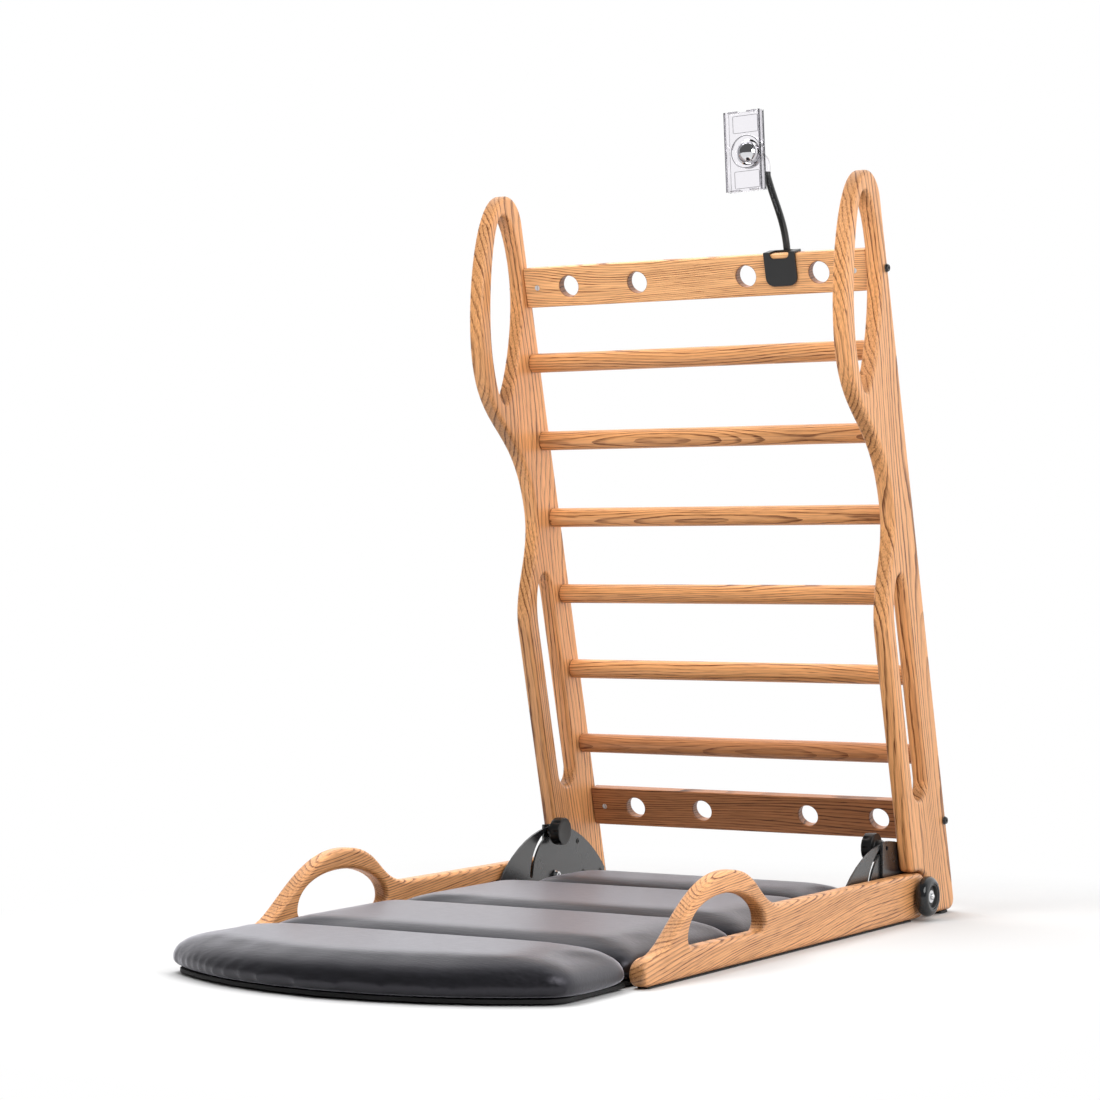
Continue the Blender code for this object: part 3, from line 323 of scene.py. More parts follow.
def length_setting(name, about, default):
    return FloatProperty(name=name, description=about, default=default, unit="LENGTH")


def power_setting(name, about, default):
    return FloatProperty(name=name, description=about, default=default, unit="POWER")


def plain_setting(name, about, default):
    return FloatProperty(name=name, description=about, default=default)


def colour_setting(name, about, code):
    return FloatVectorProperty(name=name, description=about, size=4, subtype="COLOR", default=linear(code))


class TRAINER_PG_sizes(bpy.types.PropertyGroup):
    """Finishing sizes of the pieces"""
    wood_round: length_setting("Wood round-over", "Radius of the edges of uprights and rails", 0.008)
    board_round: length_setting("Board round-over", "Radius of the edges of the two boards", 0.003)
    round_steps: IntProperty(name="Round-over steps", description="Facets across each round edge", default=6)
    ring_width: length_setting("Growth ring", "Width of one growth ring of the ash", 0.0040)
    stave_width: length_setting("Stave", "Width of the glued staves of uprights and rails", 0.110)
    pad_voxel: length_setting("Pad mesh", "Edge length of the pads' mesh before smoothing", 0.009)
    pad_swell: length_setting("Pad swell", "Most that a pad's cover moves as its foam fills it", 0.004)
    pad_shrink: length_setting("Pad start", "How much smaller a pad starts before it is filled", 0.001)
    pad_wrinkle: plain_setting("Pad wrinkles", "Share of the cover's wrinkles that stays", 0.04)
    pad_pressure: plain_setting("Pad pressure", "Push of the foam on the cover", 4.0)
    metal_edge: length_setting("Metal edge", "Broken edge of the cut steel plates", 0.0009)
    plastic_edge: length_setting("Plastic edge", "Rounded edge of the moulded plastic", 0.0008)
    knob_flute: length_setting("Knob flute", "Depth of the finger flutes in the clamp knobs", 0.0024)


class TRAINER_PG_colours(bpy.types.PropertyGroup):
    """Colours of the finishes"""
    ash_light: colour_setting("Ash, light", "Early wood of the oiled ash", "EDAB70")
    ash_dark: colour_setting("Ash, dark", "Late wood of the oiled ash", "6C3A17")
    pale_light: colour_setting("Pale ash, light", "Early wood of the paler top board", "FDC085")
    pale_dark: colour_setting("Pale ash, dark", "Late wood of the paler top board", "854A22")
    # Darker ash of the bottom board, the hole walls and the rung joints: painted shade
    painted_shade_light: colour_setting("Dark ash, light", "Early wood of the darker lower board", "B77A50")
    painted_shade_dark: colour_setting("Dark ash, dark", "Late wood of the darker lower board", "48260F")
    # Browner ash of the lowest rung: painted shade towards the foot of the ladder
    brown_light: colour_setting("Brown ash, light", "Early wood of the browner lowest rung", "CC8C5C")
    brown_dark: colour_setting("Brown ash, dark", "Late wood of the browner lowest rung", "6A381C")
    cover: colour_setting("Leatherette", "Cover of the pads", "161618")
    # Paler tone of the raised creases: painted sheen
    cover_raised_sheen: colour_setting("Leatherette, raised", "Raised grain of the cover", "222226")
    coat: colour_setting("Powder coat", "Hinge plates", "222325")
    plastic: colour_setting("Black plastic", "Knobs, hubs, clip and neck", "0C0D0E")
    tyre: colour_setting("Tyre", "Cast polyurethane of the wheels", "1E2022")
    rubber: colour_setting("Rubber", "Feet and rail strips", "1F1F20")
    floor: colour_setting("Floor", "Studio floor", "D2D2D2")


class TRAINER_PG_stage(bpy.types.PropertyGroup):
    """Studio light"""
    backdrop: plain_setting("Backdrop", "Strength of the light from the white backdrop", 1.5)
    room: plain_setting("Room", "Strength of the light from the room in front", 0.12)
    top: power_setting("Top light", "Power of the large lamp overhead", 68.0)
    side: power_setting("Side light", "Power of the lamp on the right", 33.0)
    front: power_setting("Front light", "Power of the lamp at the front", 40.0)


def sizes():
    """The finishing sizes set in the sidebar."""
    return bpy.context.scene.trainer_sizes


def colours():
    """The colours set in the sidebar."""
    return bpy.context.scene.trainer_colours


# Outlines

def bezier(start, start_handle, end_handle, end, steps=24):
    """Points of one curve from start up to, but not including, end."""
    corners = [Vector((p[0], p[1], 0)) for p in (start, start_handle, end_handle, end)]
    return [(p.x, p.y) for p in interpolate_bezier(*corners, steps + 1)[:-1]]


def arc(centre, radius, start_deg, end_deg, steps):
    """Points along an arc, both ends included."""
    points = []
    for i in range(steps + 1):
        angle = math.radians(start_deg + (end_deg - start_deg) * i / steps)
        points.append((centre[0] + radius * math.cos(angle), centre[1] + radius * math.sin(angle)))
    return points


def circle(centre, radius, steps):
    """Points around a circle."""
    return arc(centre, radius, 0, 360, steps)[:-1]


def rounded(corners, steps=8):
    """Closed outline through corners (u, v, radius), each turned on its own radius."""
    outline = []
    count = len(corners)
    for i, (u, v, radius) in enumerate(corners):
        here = Vector((u, v))
        if radius == 0:
            outline.append((u, v))
            continue
        before = (Vector(corners[i - 1][:2]) - here).normalized()
        after = (Vector(corners[(i + 1) % count][:2]) - here).normalized()
        half = before.angle(after) / 2
        centre = here + (before + after).normalized() * (radius / math.sin(half))
        first = here + before * (radius / math.tan(half)) - centre
        last = here + after * (radius / math.tan(half)) - centre
        turn = math.atan2(first.cross(last), first.dot(last))
        for k in range(steps + 1):
            arm = Matrix.Rotation(turn * k / steps, 2) @ first
            outline.append((centre.x + arm.x, centre.y + arm.y))
    return outline


def rectangle(u0, u1, v0, v1, radius, steps=8):
    """Outline of a rectangle with rounded corners."""
    return rounded([(u0, v0, radius), (u1, v0, radius), (u1, v1, radius), (u0, v1, radius)], steps)


def area(outline):
    """Signed area: positive where the outline runs anticlockwise."""
    total = 0.0
    for (u0, v0), (u1, v1) in zip(outline, outline[1:] + outline[:1]):
        total += u0 * v1 - u1 * v0
    return total / 2


def inset(outline, distance):
    """The outline moved sideways, to the left of its direction, by a distance."""
    shifted = []
    count = len(outline)
    for i in range(count):
        here = Vector(outline[i])
        into = (here - Vector(outline[i - 1])).normalized()
        out = (Vector(outline[(i + 1) % count]) - here).normalized()
        side = Vector((-into.y - out.y, into.x + out.x)).normalized()
        stretch = max(side.dot(Vector((-into.y, into.x))), 0.5)
        shifted.append(tuple(here + side * distance / stretch))
    return shifted


def to_ladder(y, z):
    """A point of the machine frame, measured from the pivot, in the ladder frame."""
    return (y * math.cos(LEAN) + z * math.sin(LEAN), z * math.cos(LEAN) - y * math.sin(LEAN))


# Solids

PLANES = {
    "x": lambda t, u, v: (t, u, v),
    "y": lambda t, u, v: (u, t, v),
    "z": lambda t, u, v: (u, v, t),
}


def bridge(bm, ring_a, ring_b):
    """Faces between two rings with as many points."""
    count = len(ring_a)
    for i in range(count):
        j = (i + 1) % count
        bm.faces.new((ring_a[i], ring_a[j], ring_b[j], ring_b[i]))


def cap(bm, rings):
    """Fill the first ring, but for the holes that the others leave."""
    edges = []
    for ring in rings:
        for i, vert in enumerate(ring):
            edges.append(bm.edges.get((vert, ring[(i + 1) % len(ring)])))
    bmesh.ops.triangle_fill(bm, edges=edges, use_beauty=True, use_dissolve=False)


def plate(axis, low, high, outline, holes=(), edge_r=0.0, steps=6):
    """A sheet between low and high along an axis, with its edges and its holes' edges rounded."""
    bm = bmesh.new()
    place = PLANES[axis]
    levels = [(low, 0.0), (high, 0.0)]
    if edge_r > 0:
        levels = []
        for k in range(steps + 1):
            angle = math.pi / 2 * (1 - k / steps)
            levels.append((low + edge_r * (1 - math.sin(angle)), edge_r * (1 - math.cos(angle))))
        levels += [(low + high - t, d) for t, d in reversed(levels)]
    firsts = []
    lasts = []
    for index, loop in enumerate((outline, *holes)):
        wanted = 1 if index == 0 else -1
        if area(loop) * wanted < 0:
            loop = list(reversed(loop))
        rings = []
        for t, d in levels:
            shape = inset(loop, d) if d else loop
            rings.append([bm.verts.new(place(t, u, v)) for u, v in shape])
        for ring_a, ring_b in zip(rings, rings[1:]):
            bridge(bm, ring_a, ring_b)
        firsts.append(rings[0])
        lasts.append(rings[-1])
    cap(bm, firsts)
    cap(bm, lasts)
    bmesh.ops.recalc_face_normals(bm, faces=bm.faces)
    return bm


def lathe(profile, sides, closed=False, reach=None):
    """A solid turned about X from (x, r) points, from pole to pole or as a closed ring."""
    bm = bmesh.new()
    rings = []
    for x, r in profile:
        if r == 0:
            rings.append([bm.verts.new((x, 0, 0))])
            continue
        ring = []
        for i in range(sides):
            angle = 2 * math.pi * i / sides
            radius = reach(x, r, angle) if reach else r
            ring.append(bm.verts.new((x, radius * math.cos(angle), radius * math.sin(angle))))
        rings.append(ring)
    pairs = list(zip(rings, rings[1:]))
    if closed:
        pairs.append((rings[-1], rings[0]))
    for ring_a, ring_b in pairs:
        if len(ring_a) == 1:
            for i in range(sides):
                bm.faces.new((ring_a[0], ring_b[i], ring_b[(i + 1) % sides]))
        elif len(ring_b) == 1:
            for i in range(sides):
                bm.faces.new((ring_a[i], ring_a[(i + 1) % sides], ring_b[0]))
        else:
            bridge(bm, ring_a, ring_b)
    bmesh.ops.recalc_face_normals(bm, faces=bm.faces)
    return bm


def moved(bm, matrix):
    """A solid put in its place."""
    bmesh.ops.transform(bm, matrix=matrix, verts=bm.verts)
    if matrix.determinant() < 0:
        bmesh.ops.reverse_faces(bm, faces=bm.faces)
    return bm


def sided(bm, side):
    """A solid made for the right side, mirrored for the left."""
    return moved(bm, Matrix.Diagonal((side, 1, 1, 1)))


def joined(solids):
    """Several solids as one mesh of separate shells."""
    whole = bmesh.new()
    for bm in solids:
        mesh = bpy.data.meshes.new("shell")
        bm.to_mesh(mesh)
        bm.free()
        whole.from_mesh(mesh)
        bpy.data.meshes.remove(mesh)
    return whole


# Pieces

def piece(name, bm, look, crease=35):
    """A mesh object at the origin, smooth but for its sharp edges."""
    mesh = bpy.data.meshes.new(name)
    bm.to_mesh(mesh)
    bm.free()
    mesh.shade_smooth()
    mesh.set_sharp_from_angle(angle=math.radians(crease))
    mesh.materials.append(look)
    made = bpy.data.objects.new(name, mesh)
    bpy.context.scene.collection.objects.link(made)
    return made


def applied(obj):
    """Turn an object's modifiers into its mesh."""
    graph = bpy.context.evaluated_depsgraph_get()
    graph.update()
    mesh = bpy.data.meshes.new_from_object(obj.evaluated_get(graph), preserve_all_data_layers=True,
                                           depsgraph=graph)
    old = obj.data
    obj.modifiers.clear()
    obj.data = mesh
    bpy.data.meshes.remove(old)
    mesh.name = obj.name
    return obj


def flat_faces_kept(obj):
    """Let large flat faces set the shading of the rounded edges beside them."""
    step = obj.modifiers.new("flat faces", "WEIGHTED_NORMAL")
    step.keep_sharp = True
    step.weight = 100
    return applied(obj)


def cut(obj, tools):
    """Take solids out of an object."""
    tool = piece(obj.name + "_tool", joined(tools), obj.data.materials[0])
    step = obj.modifiers.new("cut", "BOOLEAN")
    step.operation = "DIFFERENCE"
    step.solver = "EXACT"
    step.object = tool
    applied(obj)
    bpy.data.objects.remove(tool, do_unlink=True)
    return obj


def lay_grain(obj, place, order, number):
    """Give a wooden piece its own coordinates: along, across and through the wood, in metres.

    Each piece starts its length at another multiple of the grain step, so no two show the same grain.
    """
    back = place.inverted()
    values = []
    for vert in obj.data.vertices:
        spot = back @ vert.co
        values += [spot[order[0]] + GRAIN_STEP * number, spot[order[1]], spot[order[2]]]
    grain = obj.data.attributes.new("grain", "FLOAT_VECTOR", "POINT")
    grain.data.foreach_set("vector", values)


def shaded(obj, look, chosen):
    """Give another finish to the faces whose middle is chosen."""
    obj.data.materials.append(look)
    for face in obj.data.polygons:
        if chosen(face.center):
            face.material_index = len(obj.data.materials) - 1


def stand_in(obj, body, slot, *nodes):
    """Mount a piece on its body in place of CAD nodes."""
    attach(obj, body)
    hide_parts(*nodes)
    return obj


def refinish(look, *names):
    """Give CAD nodes that already have the right shape a better material."""
    for name in names:
        mesh = frame["nodes"][name].data
        mesh.materials.clear()
        mesh.materials.append(look)


def softened(node, name, look, width, segments=2):
    """A copy of a CAD node with its sharp edges broken."""
    bm = bmesh.new()
    bm.from_mesh(frame["nodes"][node].data)
    bmesh.ops.remove_doubles(bm, verts=bm.verts, dist=1e-5)
    bmesh.ops.dissolve_limit(bm, angle_limit=math.radians(0.5), verts=bm.verts, edges=bm.edges)
    made = piece(name, bm, look)
    step = made.modifiers.new("edges", "BEVEL")
    step.width = width
    step.segments = segments
    step.limit_method = "ANGLE"
    step.angle_limit = math.radians(40)
    step.harden_normals = False
    return flat_faces_kept(made)


# Materials

def add(tree, kind, links=None, **settings):
    """Add a node, set it up, and link the inputs that are given as sockets."""
    node = tree.nodes.new(kind)
    for key, value in settings.items():
        setattr(node, key, value)
    for socket, value in (links or {}).items():
        if isinstance(value, bpy.types.NodeSocket):
            tree.links.new(value, node.inputs[socket])
        else:
            node.inputs[socket].default_value = value
    return node


def pattern_scale(along, across):
    """Scale of a pattern whose marks are drawn out along the first direction."""
    return (1 / along, 1 / across, 1 / across)


def new_material(name, roughness, metallic=0.0, ior=None):
    """A material with its node tree and its main shader."""
    made = bpy.data.materials.new(name)
    made.use_nodes = True
    shader = made.node_tree.nodes["Principled BSDF"]
    shader.inputs["Roughness"].default_value = roughness
    shader.inputs["Metallic"].default_value = metallic
    if ior:
        shader.inputs["IOR"].default_value = ior
    return made, made.node_tree, shader


def oiled_ash(name, light, dark, stave, ring, heart, along=(1, 0, 0)):
    """Ash, planed, sanded and oiled: arches of darker late wood, short pores and a satin gloss."""
    made, tree, shader = new_material(name, 0.42, ior=1.5)
    grain = add(tree, "ShaderNodeAttribute", attribute_name="grain").outputs["Vector"]
    length, across, through = add(tree, "ShaderNodeSeparateXYZ", {0: grain}).outputs
    # Each stave is another plank: its own shade and its own place in the trunk
    board = add(tree, "ShaderNodeMath", {0: length, 1: GRAIN_STEP}, operation="DIVIDE").outputs[0]
    board = add(tree, "ShaderNodeMath", {0: board}, operation="ROUND").outputs[0]
    plank = add(tree, "ShaderNodeMath", {0: across, 1: stave}, operation="DIVIDE").outputs[0]
    plank = add(tree, "ShaderNodeMath", {0: plank}, operation="FLOOR").outputs[0]
    key = add(tree, "ShaderNodeCombineXYZ", {0: board, 1: plank}).outputs[0]
    chance = add(tree, "ShaderNodeTexWhiteNoise", {"Vector": key}, noise_dimensions="3D").outputs["Color"]
    one, two, three = add(tree, "ShaderNodeSeparateXYZ", {0: chance}).outputs
    # Distance from the heart of the trunk, which lies beside the plank and runs a little askew
    within = add(tree, "ShaderNodeMath", {0: across, 1: stave}, operation="FLOORED_MODULO").outputs[0]
    heart_y = add(tree, "ShaderNodeMath", {0: one, 1: HEART_SPREAD, 2: heart},
                  operation="MULTIPLY_ADD").outputs[0]
    off_y = add(tree, "ShaderNodeMath", {0: within, 1: heart_y}, operation="ADD").outputs[0]
    heart_z = add(tree, "ShaderNodeMath", {0: two, 1: HEART_DEPTH[0], 2: HEART_DEPTH[1]},
                  operation="MULTIPLY_ADD").outputs[0]
    run = add(tree, "ShaderNodeMath", {0: board, 1: -GRAIN_STEP, 2: length},
              operation="MULTIPLY_ADD").outputs[0]
    skew = add(tree, "ShaderNodeMath", {0: three, 1: HEART_SKEW[0], 2: HEART_SKEW[1]},
               operation="MULTIPLY_ADD").outputs[0]
    tilt = add(tree, "ShaderNodeMath", {0: run, 1: skew, 2: heart_z}, operation="MULTIPLY_ADD").outputs[0]
    off_z = add(tree, "ShaderNodeMath", {0: through, 1: tilt}, operation="ADD").outputs[0]
    arm = add(tree, "ShaderNodeCombineXYZ", {1: off_y, 2: off_z}).outputs[0]
    reach = add(tree, "ShaderNodeVectorMath", {0: arm}, operation="LENGTH").outputs["Value"]
    # The trunk sways over half a metre, and its rings ripple every few centimetres.
    # Real fibres and pores are a fifth of a millimetre wide, and are drawn coarser so that they show
    patterns = []
    for size, detail in ((SWAY, 0.0), (RIPPLE, 2.0), (FIBRE, 3.0), (PORE, 1.0)):
        drawn = add(tree, "ShaderNodeMapping", {"Vector": grain, "Scale": pattern_scale(*size)}).outputs[0]
        pattern = add(tree, "ShaderNodeTexNoise", {"Vector": drawn, "Scale": 1.0, "Detail": detail})
        patterns.append(pattern.outputs[0])
    sway, ripple, fibre, pore = patterns
    for bend, most in ((sway, SWAY_REACH), (ripple, ring * RIPPLE_SHARE)):
        reach = add(tree, "ShaderNodeMath", {0: bend, 1: most, 2: reach}, operation="MULTIPLY_ADD").outputs[0]
    rings = add(tree, "ShaderNodeMath", {0: reach, 1: ring}, operation="DIVIDE").outputs[0]
    late = add(tree, "ShaderNodeMath", {0: rings}, operation="FRACT").outputs[0]
    late = add(tree, "ShaderNodeMapRange", {0: late, 1: LATE_WOOD[0], 2: LATE_WOOD[1]},
               interpolation_type="SMOOTHSTEP").outputs[0]
    year = add(tree, "ShaderNodeMath", {0: rings}, operation="FLOOR").outputs[0]
    year = add(tree, "ShaderNodeTexWhiteNoise", {"W": year}, noise_dimensions="1D").outputs["Value"]
    year = add(tree, "ShaderNodeMapRange", {0: year, 3: 0.30, 4: 1.0}).outputs[0]
    late = add(tree, "ShaderNodeMath", {0: late, 1: year}, operation="MULTIPLY").outputs[0]
    # Pores crowd in the late wood
    pore = add(tree, "ShaderNodeMapRange", {0: pore, 1: PORE_RAMP[0], 2: PORE_RAMP[1]}).outputs[0]
    crowd = add(tree, "ShaderNodeMath", {0: late, 1: 0.8, 2: 0.30}, operation="MULTIPLY_ADD").outputs[0]
    pore = add(tree, "ShaderNodeMath", {0: pore, 1: crowd}, operation="MULTIPLY").outputs[0]
    shade = add(tree, "ShaderNodeMath", {0: fibre, 1: FIBRE_SHADE[0], 2: FIBRE_SHADE[1]},
                operation="MULTIPLY_ADD").outputs[0]
    for mark, depth in ((late, LATE_SHADE), (pore, PORE_SHADE)):
        shade = add(tree, "ShaderNodeMath", {0: mark, 1: depth, 2: shade},
                    operation="MULTIPLY_ADD").outputs[0]
    tint = add(tree, "ShaderNodeMix", {"Factor": shade, "A": light, "B": dark}, data_type="RGBA")
    tint = tint.outputs["Result"]
    shift = add(tree, "ShaderNodeMapRange", {0: two, 3: 0.90, 4: 1.06}).outputs[0]
    # End grain, where the surface cuts across the wood, drinks more oil and turns darker; the same darkening
    # is also painted shade on faces turned along the grain, such as the hoops and the fronts of the rails
    facing = add(tree, "ShaderNodeTexCoord").outputs["Normal"]
    ends = add(tree, "ShaderNodeVectorMath", {0: facing, 1: along}, operation="DOT_PRODUCT").outputs["Value"]
    ends = add(tree, "ShaderNodeMath", {0: ends}, operation="ABSOLUTE").outputs[0]
    ends = add(tree, "ShaderNodeMapRange", {0: ends, 1: END_GRAIN_AND_SHADE_FROM, 2: END_GRAIN_AND_SHADE_FULL, 3: 1.0,
                                            4: END_GRAIN_AND_PAINTED_SHADE}).outputs[0]
    shift = add(tree, "ShaderNodeMath", {0: shift, 1: ends}, operation="MULTIPLY").outputs[0]
    tint = add(tree, "ShaderNodeHueSaturation", {"Color": tint, "Value": shift}).outputs[0]
    tree.links.new(tint, shader.inputs["Base Color"])
    gloss = add(tree, "ShaderNodeMapRange", {0: shade, 3: 0.38, 4: 0.50}).outputs[0]
    tree.links.new(gloss, shader.inputs["Roughness"])
    height = add(tree, "ShaderNodeMath", {0: pore, 1: -1.0, 2: late}, operation="MULTIPLY_ADD").outputs[0]
    bump = add(tree, "ShaderNodeBump", {"Height": height, "Strength": 0.25, "Distance": 0.0004}).outputs[0]
    tree.links.new(bump, shader.inputs["Normal"])
    return made


def embossed_leatherette():
    """Coated cloth, embossed: fine creases across the mat catch the light over a dark grey cover, and the
    raised creases are drawn paler, a painted sheen.
    """
    made, tree, shader = new_material("embossed_leatherette", 0.30, ior=1.48)
    shader.inputs["Specular Tint"].default_value = linear("ECE8F6")
    shader.inputs["Sheen Weight"].default_value = 1.0
    shader.inputs["Sheen Tint"].default_value = linear("E4E2EE")
    shader.inputs["Sheen Roughness"].default_value = 0.3
    spot = add(tree, "ShaderNodeTexCoord").outputs["Object"]
    # Long creases across the mat, over a fine pebble
    drawn = add(tree, "ShaderNodeMapping", {"Vector": spot, "Scale": pattern_scale(*CREASE)}).outputs[0]
    crease = add(tree, "ShaderNodeTexNoise", {"Vector": drawn, "Scale": 1.0, "Detail": 3.0, "Roughness": 0.6})
    crease = crease.outputs[0]
    pebble = add(tree, "ShaderNodeTexVoronoi", {"Vector": spot, "Scale": 1 / PEBBLE}).outputs["Distance"]
    height = add(tree, "ShaderNodeMath", {0: pebble, 1: 0.25, 2: crease}, operation="MULTIPLY_ADD").outputs[0]
    wide = add(tree, "ShaderNodeTexNoise", {"Vector": spot, "Scale": 1 / PATCH, "Detail": 2.0}).outputs[0]
    # Raised creases drawn paler, more so in random wide patches: painted sheen
    shade = add(tree, "ShaderNodeMapRange", {0: crease, 1: 0.35, 2: 0.68}).outputs[0]
    shade = add(tree, "ShaderNodeMath", {0: shade, 1: wide}, operation="MULTIPLY").outputs[0]
    tint = add(tree, "ShaderNodeMix", {"Factor": shade, "A": colours().cover, "B": colours().cover_raised_sheen},
               data_type="RGBA").outputs["Result"]
    tree.links.new(tint, shader.inputs["Base Color"])
    gloss = add(tree, "ShaderNodeMapRange", {0: crease, 1: 0.3, 2: 0.7, 3: 0.28, 4: 0.40}).outputs[0]
    tree.links.new(gloss, shader.inputs["Roughness"])
    bump = add(tree, "ShaderNodeBump", {"Height": height, "Strength": 0.35, "Distance": 0.0008}).outputs[0]
    tree.links.new(bump, shader.inputs["Normal"])
    return made


def speckled(name, colour, roughness, grain, depth, metallic=0.0, spread=0.25, ior=None):
    """A coated or moulded surface: an even colour over a fine skin of bumps, with some wear in its gloss."""
    made, tree, shader = new_material(name, roughness, metallic, ior)
    spot = add(tree, "ShaderNodeTexCoord").outputs["Object"]
    skin = add(tree, "ShaderNodeTexNoise", {"Vector": spot, "Scale": 1.0 / grain, "Detail": 2.0}).outputs[0]
    wear = add(tree, "ShaderNodeTexNoise", {"Vector": spot, "Scale": 0.06 / grain, "Detail": 3.0}).outputs[0]
    paler = [min(1.0, channel * (1 + spread)) for channel in colour[:3]]
    darker = [channel * (1 - spread) for channel in colour[:3]]
    tint = add(tree, "ShaderNodeMix", {"Factor": wear, "A": (*darker, 1), "B": (*paler, 1)}, data_type="RGBA")
    tree.links.new(tint.outputs["Result"], shader.inputs["Base Color"])
    gloss = add(tree, "ShaderNodeMapRange", {0: wear, 3: roughness * 0.8, 4: roughness * 1.2}).outputs[0]
    tree.links.new(gloss, shader.inputs["Roughness"])
    bump = add(tree, "ShaderNodeBump", {"Height": skin, "Strength": 0.3, "Distance": depth}).outputs[0]
    tree.links.new(bump, shader.inputs["Normal"])
    return made


def moulded_polycarbonate(name, colour):
    """Clear polycarbonate, injection moulded: glassy, with a faint lilac cast and slight flow waves."""
    made = speckled(name, linear(colour), 0.04, 0.012, 0.0001, spread=0.01, ior=1.50)
    made.node_tree.nodes["Principled BSDF"].inputs["Transmission Weight"].default_value = 1.0
    return made


def finishes():
    """A maker for every finish of the object, by name."""
    tone = colours()
    ash = (tone.ash_light, tone.ash_dark)
    pale = (tone.pale_light, tone.pale_dark)
    brown = (tone.brown_light, tone.brown_dark)
    painted_shade = (tone.painted_shade_light, tone.painted_shade_dark)
    stave = sizes().stave_width
    ring = sizes().ring_width
    # Grain directions of uprights and rails; faces turned along them get the darker end grain and painted
    # shade
    up_ladder = LADDER.col[2][:3]
    along_rail = (0, 1, 0)
    return {
        # Uprights are cut near the heart, which gives arches; the rest lies further out and shows plain lines
        "ash_upright": lambda: oiled_ash("oiled_ash_upright", *ash, stave, ring * 1.8, -0.02, up_ladder),
        "ash_rail": lambda: oiled_ash("oiled_ash_rail", *ash, stave, ring * 1.1, 0.10, along_rail),
        "ash_rung": lambda: oiled_ash("oiled_ash_rung", *ash, ONE_STAVE, ring, 0.05),
        "ash_pale": lambda: oiled_ash("pale_oiled_ash", *pale, ONE_STAVE, ring, 0.05),
        # Browner ash for the lowest rung: painted shade
        "ash_brown": lambda: oiled_ash("brown_oiled_ash", *brown, ONE_STAVE, ring * 1.2, 0.05),
        # Darker ash for the bottom board, hole walls and rung joints: painted shade
        "ash_dark": lambda: oiled_ash("smoked_oiled_ash", *painted_shade, ONE_STAVE, ring * 1.4, 0.05),
        "cover": embossed_leatherette,
        # Baked powder coat: satin black with an orange-peel skin of 1.5 mm
        "coat": lambda: speckled("powder_coated_steel", tone.coat, 0.26, 0.0015, 0.0001, ior=1.8),
        # Moulded ABS: a spark-eroded skin of 0.8 mm
        "plastic": lambda: speckled("moulded_black_abs", tone.plastic, 0.40, 0.0008, 0.0001, ior=1.6),
        # Cast polyurethane: smooth and glossy, with slow ripples
        "tyre": lambda: speckled("cast_polyurethane", tone.tyre, 0.13, 0.006, 0.0002, spread=0.15, ior=1.5),
        # Pressed rubber: matt and dusty
        "rubber": lambda: speckled("pressed_rubber", tone.rubber, 0.75, 0.001, 0.0003),
        # Blackened steel screws: a black oxide skin with a soft gloss, darker than the coated plates
        "black_steel": lambda: speckled("blackened_steel", linear("0C0C0D"), 0.32, 0.0008, 0.0001),
        # Zinc-plated steel: bright, slightly cloudy
        "zinc": lambda: speckled("zinc_plated_steel", linear("E2E3E5"), 0.42, 0.0008, 0.0001, metallic=0.4,
                                 spread=0.08),
        # Chrome plate: mirror bright
        "chrome": lambda: speckled("chrome_plated_steel", linear("DCDDE0"), 0.08, 0.01, 0.00005, metallic=1.0,
                                   spread=0.03),
        "clear": lambda: moulded_polycarbonate("moulded_clear_polycarbonate", "D2D0D4"),
        # The same plastic, greyer, for thin strips on the cradle's edges: painted shade for the dark edges of
        # clear plastic
        "clear_painted_dark_edge": lambda: moulded_polycarbonate("moulded_polycarbonate_rim", "606065"),
        # Film-faced plywood: matt black edge
        "board": lambda: speckled("film_faced_plywood", linear("0B0B0C"), 0.65, 0.002, 0.0002),
    }


MADE = {}


def finish(name):
    """A finish by name, made when it is first asked for."""
    if name not in MADE:
        MADE[name] = finishes()[name]()
    return MADE[name]


# Wooden outlines

def widths_to_y(points):
    """Points (up, width from the back edge) as ladder-frame (y, z)."""
    return [(PIVOT_TO_BACK - width, up) for up, width in points]


